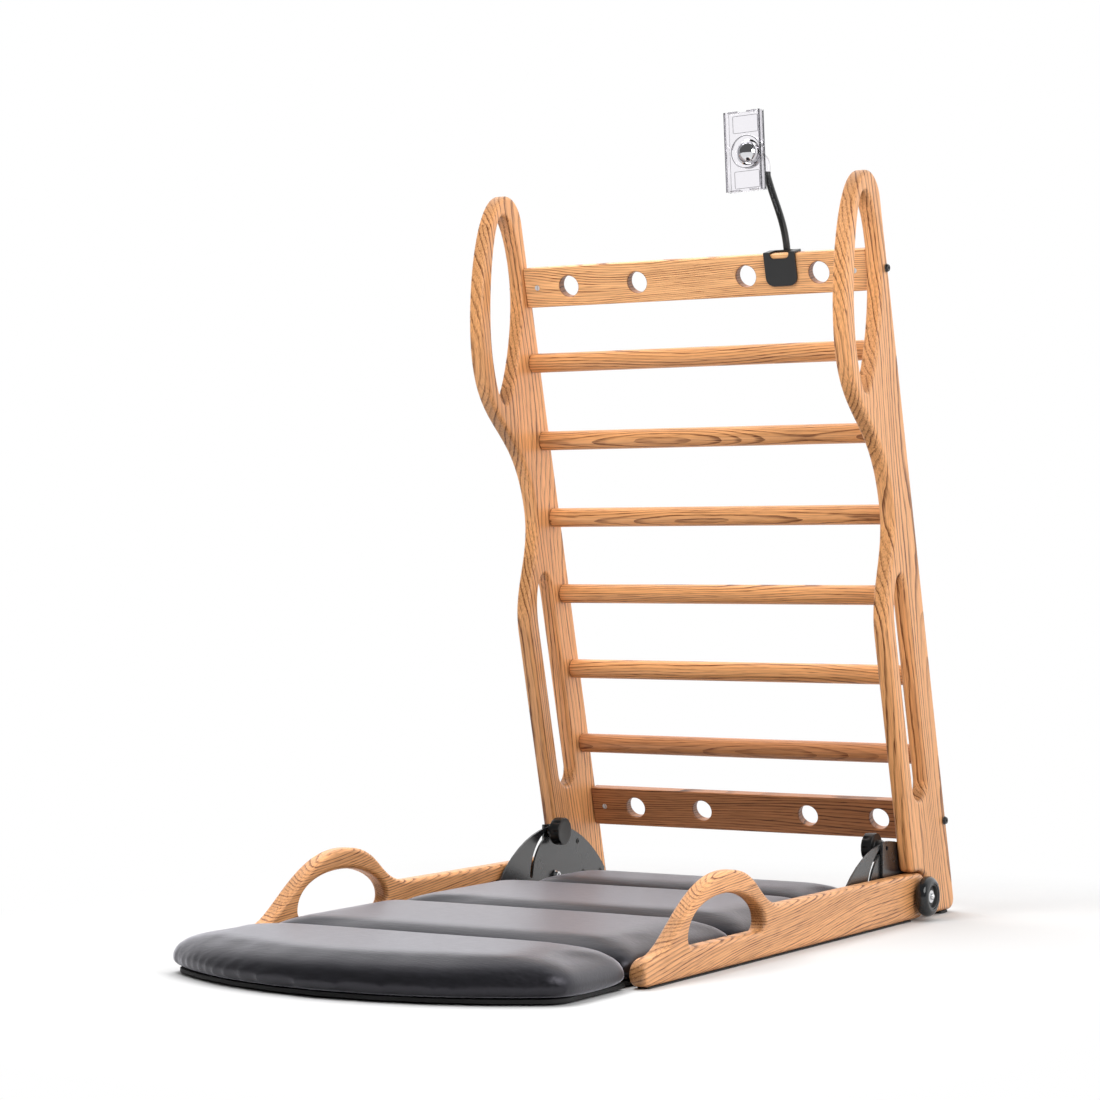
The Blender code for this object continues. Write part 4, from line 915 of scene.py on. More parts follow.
def upright_outline():
    """Outline of an upright: loop, waist, flare, notch over the rail, and foot."""
    flare_up = WAIST_UP - FLARE_LENGTH
    flare = FLARE_LENGTH * 0.42
    swell = GRIP_UP - WAIST_UP
    front = bezier((TIP_UP - TIP_DROP, 0), (TIP_UP - TIP_DROP * 0.45, 0),
                   (TIP_UP, TIP_SETBACK * 0.45), (TIP_UP, TIP_SETBACK), 16)
    front += bezier((TIP_UP, TIP_SETBACK), (TIP_UP, TIP_SETBACK + (GRIP_WIDTH - TIP_SETBACK) * 0.5),
                    (GRIP_UP + GRIP_LENGTH * 0.35, GRIP_WIDTH), (GRIP_UP, GRIP_WIDTH), 32)
    front += bezier((GRIP_UP, GRIP_WIDTH), (GRIP_UP - swell * 0.437, GRIP_WIDTH),
                    (WAIST_UP + swell * 0.53, WAIST_WIDTH), (WAIST_UP, WAIST_WIDTH), 32)
    front += bezier((WAIST_UP, WAIST_WIDTH), (WAIST_UP - flare, WAIST_WIDTH),
                    (flare_up + flare, FOOT_WIDTH), (flare_up, FOOT_WIDTH), 28)
    outline = widths_to_y(front + [(flare_up, FOOT_WIDTH)])
    notch_top = RAIL_TOP + SWEEP_GAP - PIVOT_UP
    notch_r = RAIL_H / 2 + SWEEP_GAP
    axle = (AXLE_BACK, AXLE_UP - PIVOT_UP)
    bottom = FOOT_H - PIVOT_UP
    front_edge = PIVOT_TO_BACK - FOOT_WIDTH
    toe_up = (notch_top - front_edge * math.sin(LEAN)) / math.cos(LEAN)
    toe = front_edge * math.cos(LEAN) - toe_up * math.sin(LEAN)
    heel_up = (bottom - PIVOT_TO_BACK * math.sin(LEAN)) / math.cos(LEAN)
    heel = PIVOT_TO_BACK * math.cos(LEAN) - heel_up * math.sin(LEAN)
    notch = [(y, z, 0) for y, z in arc(axle, notch_r, 90, 0, 24)]
    leg = [(axle[0] + notch_r, bottom, LEG_R), (heel, bottom, HEEL_R)]
    above_toe = (toe - math.tan(LEAN) * notch_r, notch_top + notch_r, 0)
    above_heel = (heel - math.tan(LEAN) * notch_r, bottom + notch_r, 0)
    lower = rounded([above_toe, (toe, notch_top, LEG_R), *notch, *leg, above_heel], 10)
    return outline + [to_ladder(y, z) for y, z in lower]


def grip_loop():
    """Opening of the grip at the top of an upright."""
    top = TIP_UP - TOP_LIMB
    tail = GRIP_UP - GRIP_TAIL
    front = GRIP_WIDTH - FRONT_LIMB
    rear_up = GRIP_UP + GRIP_LENGTH * 0.523
    loop = bezier((top, LOOP_TOP_WIDTH), (top, LOOP_TOP_WIDTH + 0.030),
                  (GRIP_UP + GRIP_LENGTH * 0.335, front), (GRIP_UP, front), 30)
    loop += bezier((GRIP_UP, front), (GRIP_UP - GRIP_TAIL * 0.45, front),
                   (tail, front - 0.004), (tail, TAIL_WIDTH), 18)
    loop += bezier((tail, TAIL_WIDTH), (tail, TAIL_WIDTH - 0.020),
                   (rear_up - GRIP_LENGTH * 0.39, REAR_LIMB), (rear_up, REAR_LIMB), 30)
    loop += bezier((rear_up, REAR_LIMB), (rear_up + (top - rear_up) * 0.6, REAR_LIMB),
                   (top, LOOP_TOP_WIDTH - 0.021), (top, LOOP_TOP_WIDTH), 22)
    return widths_to_y(loop)


def long_slot():
    """Opening below the waist of an upright."""
    rear = SLOT_REAR_LIMB
    front = FOOT_WIDTH - SLOT_FRONT_LIMB
    radius = (front - rear) / 2
    top = WAIST_UP - SLOT_TOP_DROP
    flare_up = WAIST_UP - FLARE_LENGTH
    loop = arc((SLOT_LOW_UP + radius, rear + radius), radius, 270, 90, 28)
    loop += bezier((flare_up, front), (flare_up + (top - flare_up) * 0.6, front),
                   (top, SLOT_TOP_WIDTH + 0.019), (top, SLOT_TOP_WIDTH), 20)
    loop += bezier((top, SLOT_TOP_WIDTH), (top, SLOT_TOP_WIDTH - 0.012),
                   (top - 0.021, rear), (top - 0.051, rear), 14)
    return widths_to_y(loop + [(top - 0.051, rear)])


def rail_outline():
    """Outline of a rail: round rear end, nose and hoop."""
    crest = -HOOP_REACH
    nose_start = -NOSE_REACH + NOSE_LENGTH
    front_run = crest - nose_start
    outline = arc((AXLE_BACK, AXLE_UP), RAIL_H / 2, 90, -90, 40)
    bottom_front = -NOSE_REACH + NOSE_R
    outline += bezier((bottom_front, STRIP_T), (bottom_front - NOSE_R * 0.6, STRIP_T),
                      (-NOSE_REACH, STRIP_T + 0.007), (-NOSE_REACH, STRIP_T + 0.018), 14)
    outline += bezier((-NOSE_REACH, STRIP_T + 0.018), (-NOSE_REACH, NOSE_TOP - 0.009),
                      (nose_start - NOSE_LENGTH * 0.6, NOSE_TOP), (nose_start, NOSE_TOP), 16)
    outline += bezier((nose_start, NOSE_TOP), (nose_start + front_run * 0.25, NOSE_TOP),
                      (crest - front_run * 0.51, HOOP_TOP), (crest, HOOP_TOP), 36)
    end = crest + HOOP_RUN_OUT
    outline += bezier((crest, HOOP_TOP), (crest + HOOP_RUN_OUT * 0.58, HOOP_TOP),
                      (end - HOOP_RUN_OUT * 0.50, RAIL_TOP), (end, RAIL_TOP), 36)
    return outline + [(end, RAIL_TOP)]


def hoop_opening():
    """Opening of the hoop handle in a rail."""
    crest = -HOOP_REACH - 0.012
    top = HOOP_TOP - HOOP_BAR
    front = -HOOP_REACH - HOOP_FRONT
    rear = -HOOP_REACH + HOOP_REAR
    shoulder = HOOP_SILL + 0.015
    loop = bezier((front, shoulder), (front, shoulder + (top - shoulder) * 0.6),
                  (crest - (crest - front) * 0.56, top), (crest, top), 24)
    loop += bezier((crest, top), (crest + (rear - crest) * 0.5, top),
                   (rear, shoulder + (top - shoulder) * 0.55), (rear, shoulder), 24)
    loop += bezier((rear, shoulder), (rear, HOOP_SILL + 0.006),
                   (rear - 0.008, HOOP_SILL), (rear - 0.015, HOOP_SILL), 10)
    loop += [(rear - 0.015, HOOP_SILL)]
    loop += bezier((front + 0.015, HOOP_SILL), (front + 0.008, HOOP_SILL),
                   (front, HOOP_SILL + 0.006), (front, shoulder), 10)
    return loop


def mat_outline(half, front, rear, corner_r, bow_r, steps, parts=24):
    """Rounded rectangle whose front edge is an arc of radius bow_r, or straight where bow_r is 0."""
    def drawn_back(x):
        return bow_r - math.sqrt(bow_r ** 2 - x ** 2) if bow_r else 0.0

    corners = [(half, rear, corner_r), (-half, rear, corner_r), (-half, front + drawn_back(half), corner_r)]
    reach = half - corner_r * 0.8
    for k in range(1, parts):
        x = reach * (2 * k / parts - 1)
        corners.append((x, front + drawn_back(x), 0))
    corners.append((half, front + drawn_back(half), corner_r))
    return rounded(corners, steps)


# Repeated fasteners

def screw_tree():
    """Node tree that sets a socket-headed screw on each point, facing along the point's aim."""
    tree = bpy.data.node_groups.new("socket_screws", "GeometryNodeTree")
    face = tree.interface
    face.new_socket("Geometry", in_out="INPUT", socket_type="NodeSocketGeometry")
    for size in ("Head radius", "Head height", "Socket radius"):
        face.new_socket(size, in_out="INPUT", socket_type="NodeSocketFloat")
    face.new_socket("Material", in_out="INPUT", socket_type="NodeSocketMaterial")
    face.new_socket("Geometry", in_out="OUTPUT", socket_type="NodeSocketGeometry")
    given = add(tree, "NodeGroupInput").outputs
    top = add(tree, "ShaderNodeMath", {0: given["Head radius"], 1: 0.72}, operation="MULTIPLY").outputs[0]
    cone = add(tree, "GeometryNodeMeshCone",
               {"Vertices": 28, "Radius Top": top, "Radius Bottom": given["Head radius"],
                "Depth": given["Head height"]}).outputs["Mesh"]
    tool = add(tree, "GeometryNodeMeshCylinder", {"Vertices": 6, "Radius": given["Socket radius"],
                                                  "Depth": given["Head height"]}).outputs["Mesh"]
    rise = add(tree, "ShaderNodeCombineXYZ", {2: given["Head height"]}).outputs[0]
    tool = add(tree, "GeometryNodeTransform", {"Geometry": tool, "Translation": rise}).outputs[0]
    head = add(tree, "GeometryNodeMeshBoolean", operation="DIFFERENCE", solver="EXACT")
    tree.links.new(cone, head.inputs["Mesh 1"])
    tree.links.new(tool, head.inputs["Mesh 2"])
    aim = add(tree, "GeometryNodeInputNamedAttribute", {"Name": "aim"}, data_type="FLOAT_VECTOR")
    turn = add(tree, "FunctionNodeAlignRotationToVector", {"Vector": aim.outputs["Attribute"]}, axis="Z")
    placed = add(tree, "GeometryNodeInstanceOnPoints",
                 {"Points": given["Geometry"], "Instance": head.outputs["Mesh"],
                  "Rotation": turn.outputs["Rotation"]}).outputs[0]
    real = add(tree, "GeometryNodeRealizeInstances", {"Geometry": placed}).outputs[0]
    dressed = add(tree, "GeometryNodeSetMaterial", {"Geometry": real, "Material": given["Material"]})
    add(tree, "NodeGroupOutput", {"Geometry": dressed.outputs[0]})
    return tree


def set_screws(name, spots, head, look):
    """Screw heads at spots (place, direction) as one mesh; a head is its radius, height and socket radius."""
    radius, height, socket = head
    mesh = bpy.data.meshes.new(name)
    mesh.from_pydata([tuple(place + aim * height / 2) for place, aim in spots], [], [])
    aims = mesh.attributes.new("aim", "FLOAT_VECTOR", "POINT")
    aims.data.foreach_set("vector", [part for place, aim in spots for part in aim])
    made = bpy.data.objects.new(name, mesh)
    bpy.context.scene.collection.objects.link(made)
    tree = bpy.data.node_groups.get("socket_screws") or screw_tree()
    step = made.modifiers.new("screws", "NODES")
    step.node_group = tree
    wanted = {"Head radius": radius, "Head height": height, "Socket radius": socket, "Material": look}
    for item in tree.interface.items_tree:
        if item.in_out == "INPUT" and item.name in wanted:
            step[item.identifier] = wanted[item.name]
    applied(made)
    if not made.data.polygons:
        raise RuntimeError(name + " came out empty")
    return made


# Soft pads

def pad_solid(half, front, rear, corner, bow_r, side_roll, low, shrink):
    """A crowned pad: each ring of its side is drawn further in, up to the flat of its top."""
    # Share of the height, share of the side roll and share of the end roll
    profile = ((0.0, 0.04, 0.06), (0.08, 0.005, 0.01), (0.16, 0.0, 0.0), (0.29, 0.005, 0.01),
               (0.42, 0.02, 0.04), (0.54, 0.05, 0.09), (0.66, 0.10, 0.17), (0.76, 0.20, 0.28),
               (0.84, 0.33, 0.42), (0.90, 0.48, 0.56), (0.95, 0.68, 0.74), (0.985, 0.86, 0.89),
               (1.0, 1.0, 1.0))
    bm = bmesh.new()
    rings = []
    for up, side_in, end_in in profile:
        side = side_in * side_roll + shrink
        end = end_in * PAD_END_ROLL + shrink
        loop = mat_outline(half - side, front + end, rear - end, corner, bow_r, 10)
        rings.append([bm.verts.new((x, y, low + up * (PAD_H - shrink))) for x, y in loop])
    for ring_a, ring_b in zip(rings, rings[1:]):
        bridge(bm, ring_a, ring_b)
    cap(bm, [rings[0]])
    cap(bm, [rings[-1]])
    bmesh.ops.recalc_face_normals(bm, faces=bm.faces)
    return moved(bm, MACHINE)


def smoothed(mesh, values, rounds=12):
    """Values of a mesh's points, evened out along its edges."""
    ends = np.array([edge.vertices[:] for edge in mesh.edges])
    count = np.bincount(ends.ravel(), minlength=len(values))[:, None]
    for step in range(rounds):
        total = np.zeros_like(values)
        np.add.at(total, ends[:, 0], values[ends[:, 1]])
        np.add.at(total, ends[:, 1], values[ends[:, 0]])
        values = (values + total / count) / 2
    return values


def fill_pad(obj, low_corner, high_corner):
    """Blow the cover up over its foam: the base stays put and the seams hold the ends."""
    step = obj.modifiers.new("even mesh", "REMESH")
    step.mode = "VOXEL"
    step.voxel_size = sizes().pad_voxel
    step = obj.modifiers.new("no steps", "SMOOTH")
    step.iterations = 10
    applied(obj)
    starts = [vert.co.copy() for vert in obj.data.vertices]
    held = obj.vertex_groups.new(name="held")
    held.add([k for k, co in enumerate(starts) if co.z < low_corner.z + PAD_HELD_H], 1.0, "REPLACE")
    step = obj.modifiers.new("cover", "CLOTH")
    cover = step.settings
    cover.quality = 5
    cover.mass = 0.3
    cover.tension_stiffness = 12
    cover.compression_stiffness = 12
    cover.shear_stiffness = 6
    cover.bending_stiffness = 0.6
    cover.use_pressure = True
    cover.uniform_pressure_force = sizes().pad_pressure
    cover.vertex_group_mass = "held"
    cover.effector_weights.gravity = 0
    step.point_cache.frame_start = 1
    step.point_cache.frame_end = PAD_FRAMES
    for number in range(1, PAD_FRAMES + 1):
        bpy.context.scene.frame_set(number)
    applied(obj)
    bpy.context.scene.frame_set(1)
    most = sizes().pad_swell
    steps = np.array([vert.co - start for vert, start in zip(obj.data.vertices, starts)])
    steps = steps * sizes().pad_wrinkle + smoothed(obj.data, steps) * (1 - sizes().pad_wrinkle)
    lengths = np.linalg.norm(steps, axis=1)
    steps *= (np.minimum(lengths, most) / np.maximum(lengths, 1e-9))[:, None]
    spots = np.array(starts) + steps
    share = (spots - spots.min(0)) / (spots.max(0) - spots.min(0))
    spots = np.array(low_corner) + share * np.array(high_corner - low_corner)
    obj.data.vertices.foreach_set("co", spots.ravel())
    obj.vertex_groups.clear()
    smooth = obj.modifiers.new("fine cover", "SUBSURF")
    smooth.levels = 1
    smooth.render_levels = 1
    applied(obj)
    obj.data.shade_smooth()
    return obj


# Operators

class TRAINER_OT_uprights(bpy.types.Operator):
    """Two ash uprights with a grip loop and a long slot"""
    bl_idname = "trainer.uprights"
    bl_label = "Uprights"

    def execute(self, context):
        for number, (name, side) in enumerate(SIDES):
            solid = plate("x", INNER_X, OUTER_X, upright_outline(), [grip_loop(), long_slot()],
                          sizes().wood_round, sizes().round_steps)
            made = piece("ash_upright_" + name, moved(sided(solid, side), LADDER), finish("ash_upright"))
            flat_faces_kept(made)
            middle = Matrix.Translation((side * (INNER_X + OUTER_X) / 2, PIVOT_TO_BACK, 0))
            about = Matrix.Rotation(math.pi, 4, "Z")
            lay_grain(made, LADDER @ middle @ about, (2, 1, 0), UPRIGHT_GRAIN + number)
            stand_in(made, "ladder", "wood", "upright_" + name)
        return {"FINISHED"}


class TRAINER_OT_rungs(bpy.types.Operator):
    """Six turned ash rungs"""
    bl_idname = "trainer.rungs"
    bl_label = "Rungs"

    def execute(self, context):
        reach = INNER_X - SEAT
        for k in range(RUNG_COUNT):
            up = LOWEST_RUNG_UP + (RUNG_COUNT - 1 - k) * RUNG_PITCH
            middle = LADDER @ Matrix.Translation((0, PIVOT_TO_BACK - RUNG_SETBACK, up))
            body = reach - 1.5 * JOINT_GROOVE
            steps = [body * (2 * j / 12 - 1) for j in range(13)]
            # A shallow groove at each end leaves the dark line of the joint
            neck = RUNG_R - JOINT_GROOVE
            profile = [(-reach, 0), (-reach, neck), (-reach + JOINT_GROOVE, neck)]
            profile += [(x, RUNG_R) for x in steps]
            profile += [(reach - JOINT_GROOVE, neck), (reach, neck), (reach, 0)]
            # The lowest rung gets the browner ash: painted shade, as less light reaches the foot of the
            # ladder
            look = finish("ash_brown") if k == RUNG_COUNT - 1 else finish("ash_rung")
            made = piece("ash_rung_%d" % (k + 1), moved(lathe(profile, 56), middle), look)
            # The grooves and end faces get the darker ash: painted shade in the joint
            shaded(made, finish("ash_dark"), lambda spot: abs(spot.x) > body)
            # Half the rungs show straight lines to the front, the others the arches of flat-sawn wood
            order = (0, 2, 1) if k in STRAIGHT_RUNGS else (0, 1, 2)
            heart = Vector((0, -RUNG_OFF_HEART, -RUNG_OFF_HEART))
            heart[order[1]] = -RUNG_FROM_HEART
            lay_grain(made, middle @ Matrix.Translation(heart), order, RUNG_GRAIN + k)
            stand_in(made, "ladder", "wood", "rung_%d" % (k + 1))
        return {"FINISHED"}


class TRAINER_OT_boards(bpy.types.Operator):
    """Two ash boards with four holes each, and the barrel nuts in their ends"""
    bl_idname = "trainer.boards"
    bl_label = "Boards"

    def execute(self, context):
        half = INNER_X - SEAT
        nut_x = INNER_X - NUT_IN
        for number, (name, up) in enumerate((("top", TOP_BOARD_UP), ("bottom", BOTTOM_BOARD_UP))):
            round_r = sizes().board_round
            outline = rectangle(-half, half, up - BOARD_H / 2, up + BOARD_H / 2, round_r * 1.5)
            holes = [circle((side * x, up), BOARD_HOLE_R, 56) for x in BOARD_HOLES_X for end, side in SIDES]
            solid = plate("y", BOARD_FRONT, BOARD_BACK, outline, holes, round_r, 4)
            # The bottom board gets the darker ash: painted shade, as less light reaches the foot of the
            # ladder
            look = finish("ash_dark") if name == "bottom" else finish("ash_pale")
            made = piece("ash_board_" + name, moved(solid, LADDER), look)
            wells = []
            for end, side in SIDES:
                spot = Vector((side * nut_x, BOARD_MID, up))
                well = lathe([(-BOARD_T, 0), (-BOARD_T, NUT_R + SEAT), (NUT_DEPTH, NUT_R + SEAT),
                              (NUT_DEPTH, 0)], 32)
                wells.append(moved(well, LADDER @ Matrix.Translation(spot) @ TURN_TO_Y))
                self.barrel_nut(name, end, spot)
            cut(made, wells)
            flat_faces_kept(made)
            # The walls of the holes get the darker ash: painted shade inside the holes, and in part the
            # darker end grain
            to_board = LADDER.inverted()
            middles = [Vector((side * x, up)) for x in BOARD_HOLES_X for end, side in SIDES]

            def in_hole(spot):
                return min(((to_board @ spot).xz - middle).length for middle in middles) < HOLE_WALL_R

            shaded(made, finish("ash_dark"), in_hole)
            heart = Matrix.Translation((0, BOARD_MID, up - BOARD_FROM_HEART))
            lay_grain(made, LADDER @ heart, (0, 2, 1), BOARD_GRAIN + number)
            stand_in(made, "ladder", "wood", name + "_board")
        return {"FINISHED"}

    def barrel_nut(self, name, end, spot):
        """A steel barrel with a screwdriver slot in its front end."""
        rear = NUT_DEPTH - SEAT
        front = -BOARD_T / 2 + SEAT
        profile = [(front, 0), (front, NUT_R * 0.85), (front + NUT_EDGE, NUT_R), (rear, NUT_R), (rear, 0)]
        place = LADDER @ Matrix.Translation(spot) @ TURN_TO_Y
        made = piece("barrel_nut_piece_%s_%s" % (name, end), moved(lathe(profile, 32), place), finish("zinc"))
        mouth = rectangle(-NUT_SLOT_HALF, NUT_SLOT_HALF, -NUT_R, NUT_R, SEAT, 2)
        slot = plate("x", front - NUT_SLOT_D, front + NUT_SLOT_D, mouth)
        cut(made, [moved(slot, place)])
        flat_faces_kept(made)
        stand_in(made, "ladder", "steel", "barrel_nut_%s_%s" % (name, end))


class TRAINER_OT_rails(bpy.types.Operator):
    """Two ash rails with their hoop handles, and the rubber under rails and uprights"""
    bl_idname = "trainer.rails"
    bl_label = "Rails"

    def execute(self, context):
        for number, (name, side) in enumerate(SIDES):
            solid = plate("x", INNER_X, OUTER_X, rail_outline(), [hoop_opening()],
                          sizes().wood_round, sizes().round_steps)
            made = piece("ash_rail_" + name, moved(sided(solid, side), MACHINE), finish("ash_rail"))
            flat_faces_kept(made)
            middle = Matrix.Translation((side * (INNER_X + OUTER_X) / 2, 0, RAIL_TOP - RAIL_STAVE_DROP))
            askew = Matrix.Rotation(math.radians(RAIL_GRAIN_SLOPE), 4, "X")
            lay_grain(made, MACHINE @ middle @ askew, (1, 2, 0), RAIL_GRAIN + number)
            stand_in(made, "base", "wood", "rail_" + name)
            refinish(finish("rubber"), "rail_strip_" + name, "foot_" + name)
        return {"FINISHED"}


class TRAINER_OT_base_board(bpy.types.Operator):
    """Thin black board under the pads"""
    bl_idname = "trainer.base_board"
    bl_label = "Base board"

    def execute(self, context):
        made = softened("base_board", "plywood_base_board", finish("board"), BASE_EDGE)
        stand_in(made, "base", "black_board", "base_board")
        return {"FINISHED"}


class TRAINER_OT_pads(bpy.types.Operator):
    """Four filled leatherette pads"""
    bl_idname = "trainer.pads"
    bl_label = "Pads"

    def execute(self, context):
        low = BASE_LIFT + BASE_T + SEAT
        edges = [MAT_FRONT + PAD_OVERHANG + PAD_GAP, *SEAMS, -PAD_REAR]
        for k, name in enumerate(("pad_front", "pad_middle_front", "pad_middle_rear", "pad_rear")):
            half = REAR_PAD_HALF if name == "pad_rear" else PAD_HALF
            bow_r = 0.0
            corner = PAD_CORNER_R
            side_roll = PAD_SIDE_ROLL
            if name == "pad_front":
                half = FRONT_PAD_HALF
                bow_r = MAT_BOW_R
                corner = MAT_CORNER_R
                side_roll = FRONT_PAD_SIDE_ROLL
            front = -edges[k] + PAD_GAP
            rear = -edges[k + 1] - PAD_GAP
            solid = pad_solid(half, front, rear, corner, bow_r, side_roll, low, sizes().pad_shrink)
            made = piece("leatherette_" + name, solid, finish("cover"))
            lowest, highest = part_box(name)
            highest.z += PAD_CROWN
            fill_pad(made, lowest, highest)
            stand_in(made, "base", "leatherette", name)
        return {"FINISHED"}


class TRAINER_OT_hinges(bpy.types.Operator):
    """Coated hinge plates with their screws and pivot bolts"""
    bl_idname = "trainer.hinges"
    bl_label = "Hinges"

    def execute(self, context):
        fixed = []
        swung = []
        pivots = []
        for name, side in SIDES:
            inward = Vector((-side, 0, 0))
            for kind, body in (("slot_plate_", "base"), ("swing_plate_", "ladder")):
                made = softened(kind + name, "coated_" + kind + name, finish("coat"), sizes().metal_edge)
                stand_in(made, body, "black_metal", kind + name)
            for y, z in SLOT_SCREWS:
                fixed.append((MACHINE @ Vector((side * SLOT_IN, y, PIVOT_UP + z)), inward))
            for spot in SWING_SCREWS:
                place = Vector((side * (SWING_IN + SWING_SCREW_SUNK), *to_ladder(*spot)))
                swung.append((LADDER @ place, inward))
            pivots.append((MACHINE @ Vector((side * SLOT_IN, 0, PIVOT_UP)), inward))
        made = set_screws("slot_plate_screws", fixed, SLOT_SCREW, finish("black_steel"))
        stand_in(made, "base", "black_metal",
                 *["slot_plate_screw_%s_%d" % (name, k) for name, side in SIDES for k in (1, 2)])
        made = set_screws("swing_plate_screws", swung, SWING_SCREW, finish("black_steel"))
        stand_in(made, "ladder", "black_metal",
                 *["swing_plate_screw_%s_%d" % (name, k) for name, side in SIDES for k in (1, 2, 3)])
        made = set_screws("pivot_bolts", pivots, PIVOT_BOLT, finish("chrome"))
        stand_in(made, "base", "steel", "pivot_bolt_left", "pivot_bolt_right")
        return {"FINISHED"}


class TRAINER_OT_board_bolts(bpy.types.Operator):
    """Black bolts of the boards on the outside of the uprights"""
    bl_idname = "trainer.board_bolts"
    bl_label = "Board bolts"

    def execute(self, context):
        spots = []
        nodes = []
        for name, side in SIDES:
            for board, up in (("top", TOP_BOARD_UP), ("bottom", BOTTOM_BOARD_UP)):
                place = LADDER @ Vector((side * (OUTER_X + SEAT), BOARD_MID, up))
                spots.append((place, Vector((side, 0, 0))))
                nodes.append("board_bolt_%s_%s" % (board, name))
        made = set_screws("board_bolts", spots, BOARD_BOLT, finish("black_steel"))
        stand_in(made, "ladder", "black_metal", *nodes)
        return {"FINISHED"}


class TRAINER_OT_knobs(bpy.types.Operator):
    """Two fluted clamp knobs"""
    bl_idname = "trainer.knobs"
    bl_label = "Clamp knobs"

    def execute(self, context):
        face = SLOT_IN - SEAT
        grip = face - KNOB_BOSS_L
        end = grip - KNOB_GRIP_L
        flute = sizes().knob_flute

        def fluted(x, radius, angle):
            if radius <= KNOB_R * 0.9:
                return radius
            share = min(max((x - end) / KNOB_GRIP_L, 0.0), 1.0)
            depth = flute * math.sin(math.pi * min(1.0, share * 1.4 + 0.05))
            return radius - depth * max(0.0, math.cos(KNOB_LOBES * angle)) ** 2

        profile = [(end + 0.0004, 0), (end + 0.0003, KNOB_R * 0.60)]
        profile += [(end, KNOB_R * 0.66), (end, KNOB_R * 0.86)]
        for angle in (0.3, 0.7, 1.1, 1.57):
            profile.append((end + KNOB_EDGE_R - KNOB_EDGE_R * math.cos(angle),
                            KNOB_R - KNOB_EDGE_R + KNOB_EDGE_R * math.sin(angle)))
        profile += [(end + KNOB_GRIP_L * k / 8, KNOB_R) for k in range(2, 8)]
        profile += [(grip - 0.0007, KNOB_R * 0.98), (grip, KNOB_R * 0.92), (grip, KNOB_BOSS_R + 0.001),
                    (grip + 0.001, KNOB_BOSS_R), (face - 0.0005, KNOB_BOSS_R), (face, KNOB_BOSS_R * 0.96),
                    (face, 0)]
        for name, side in SIDES:
            centre = Vector(JOINTS["knob_%s_turn" % name]["pos_m"])
            place = Matrix.Translation((0, centre.y, centre.z))
            made = piece("fluted_knob_" + name, moved(sided(lathe(profile, 128, reach=fluted), side), place),
                         finish("plastic"))
            flat_faces_kept(made)
            stand_in(made, "knob_" + name, "black_plastic", "clamp_knob_" + name)
        return {"FINISHED"}


class TRAINER_OT_wheels(bpy.types.Operator):
    """Two transport wheels on their axle bolts"""
    bl_idname = "trainer.wheels"
    bl_label = "Wheels"

    def execute(self, context):
        half = WHEEL_W / 2
        tyre = []
        for k in range(17):
            angle = math.pi * k / 16
            tyre.append((-half * 0.98 * math.cos(angle),
                         WHEEL_R - TYRE_BEAD_R + TYRE_BEAD_R * math.sin(angle)))
        tyre += [(half * 0.94, HUB_R + SEAT), (-half * 0.94, HUB_R + SEAT)]
        # One side of the hollow hub, from its rim to the bearing, and the same again for the other side
        hollow = [(half * 0.86, HUB_R), (half * 0.9, HUB_R * 0.95), (half * 0.86, HUB_R * 0.88),
                  (half * 0.45, HUB_R * 0.80), (half * 0.40, BEARING_R * 1.25),
                  (half * 0.58, BEARING_R * 1.2), (half * 0.58, BEARING_R + SEAT)]
        hub = hollow + [(-x, r) for x, r in reversed(hollow)]
        head = BEARING_W / 2 + SEAT
        dome = head + AXLE_RIM_H
        nut = [(-half - AXLE_END, 0), (-half - AXLE_END, AXLE_HEAD_R), (-head, AXLE_HEAD_R), (-head, AXLE_R),
               (head, AXLE_R), (head, AXLE_HEAD_R), (dome, AXLE_HEAD_R)]
        nut += [(dome + (AXLE_HEAD_H - AXLE_RIM_H) * math.sin(a), AXLE_HEAD_R * 0.84 * math.cos(a))
                for a in (0.0, 0.35, 0.7, 1.05, 1.35)]
        nut += [(head + AXLE_HEAD_H, 0)]
        for name, side in SIDES:
            centre = Vector(JOINTS["wheel_%s_turn" % name]["pos_m"])
            place = Matrix.Translation((side * WHEEL_MID, centre.y, centre.z))
            made = piece("cast_tyre_" + name, moved(sided(lathe(tyre, 96, closed=True), side), place),
                         finish("tyre"))
            stand_in(made, "wheel_" + name, "wheel_tread", "wheel_tyre_" + name)
            made = piece("moulded_hub_" + name, moved(sided(lathe(hub, 64, closed=True), side), place),
                         finish("plastic"))
            stand_in(made, "wheel_" + name, "black_plastic", "wheel_hub_" + name)
            made = piece("axle_nut_" + name, moved(sided(lathe(nut, 36), side), place), finish("chrome"))
            stand_in(made, "base", "steel", "axle_bolt_" + name)
            refinish(finish("zinc"), "wheel_bearing_" + name)
        return {"FINISHED"}


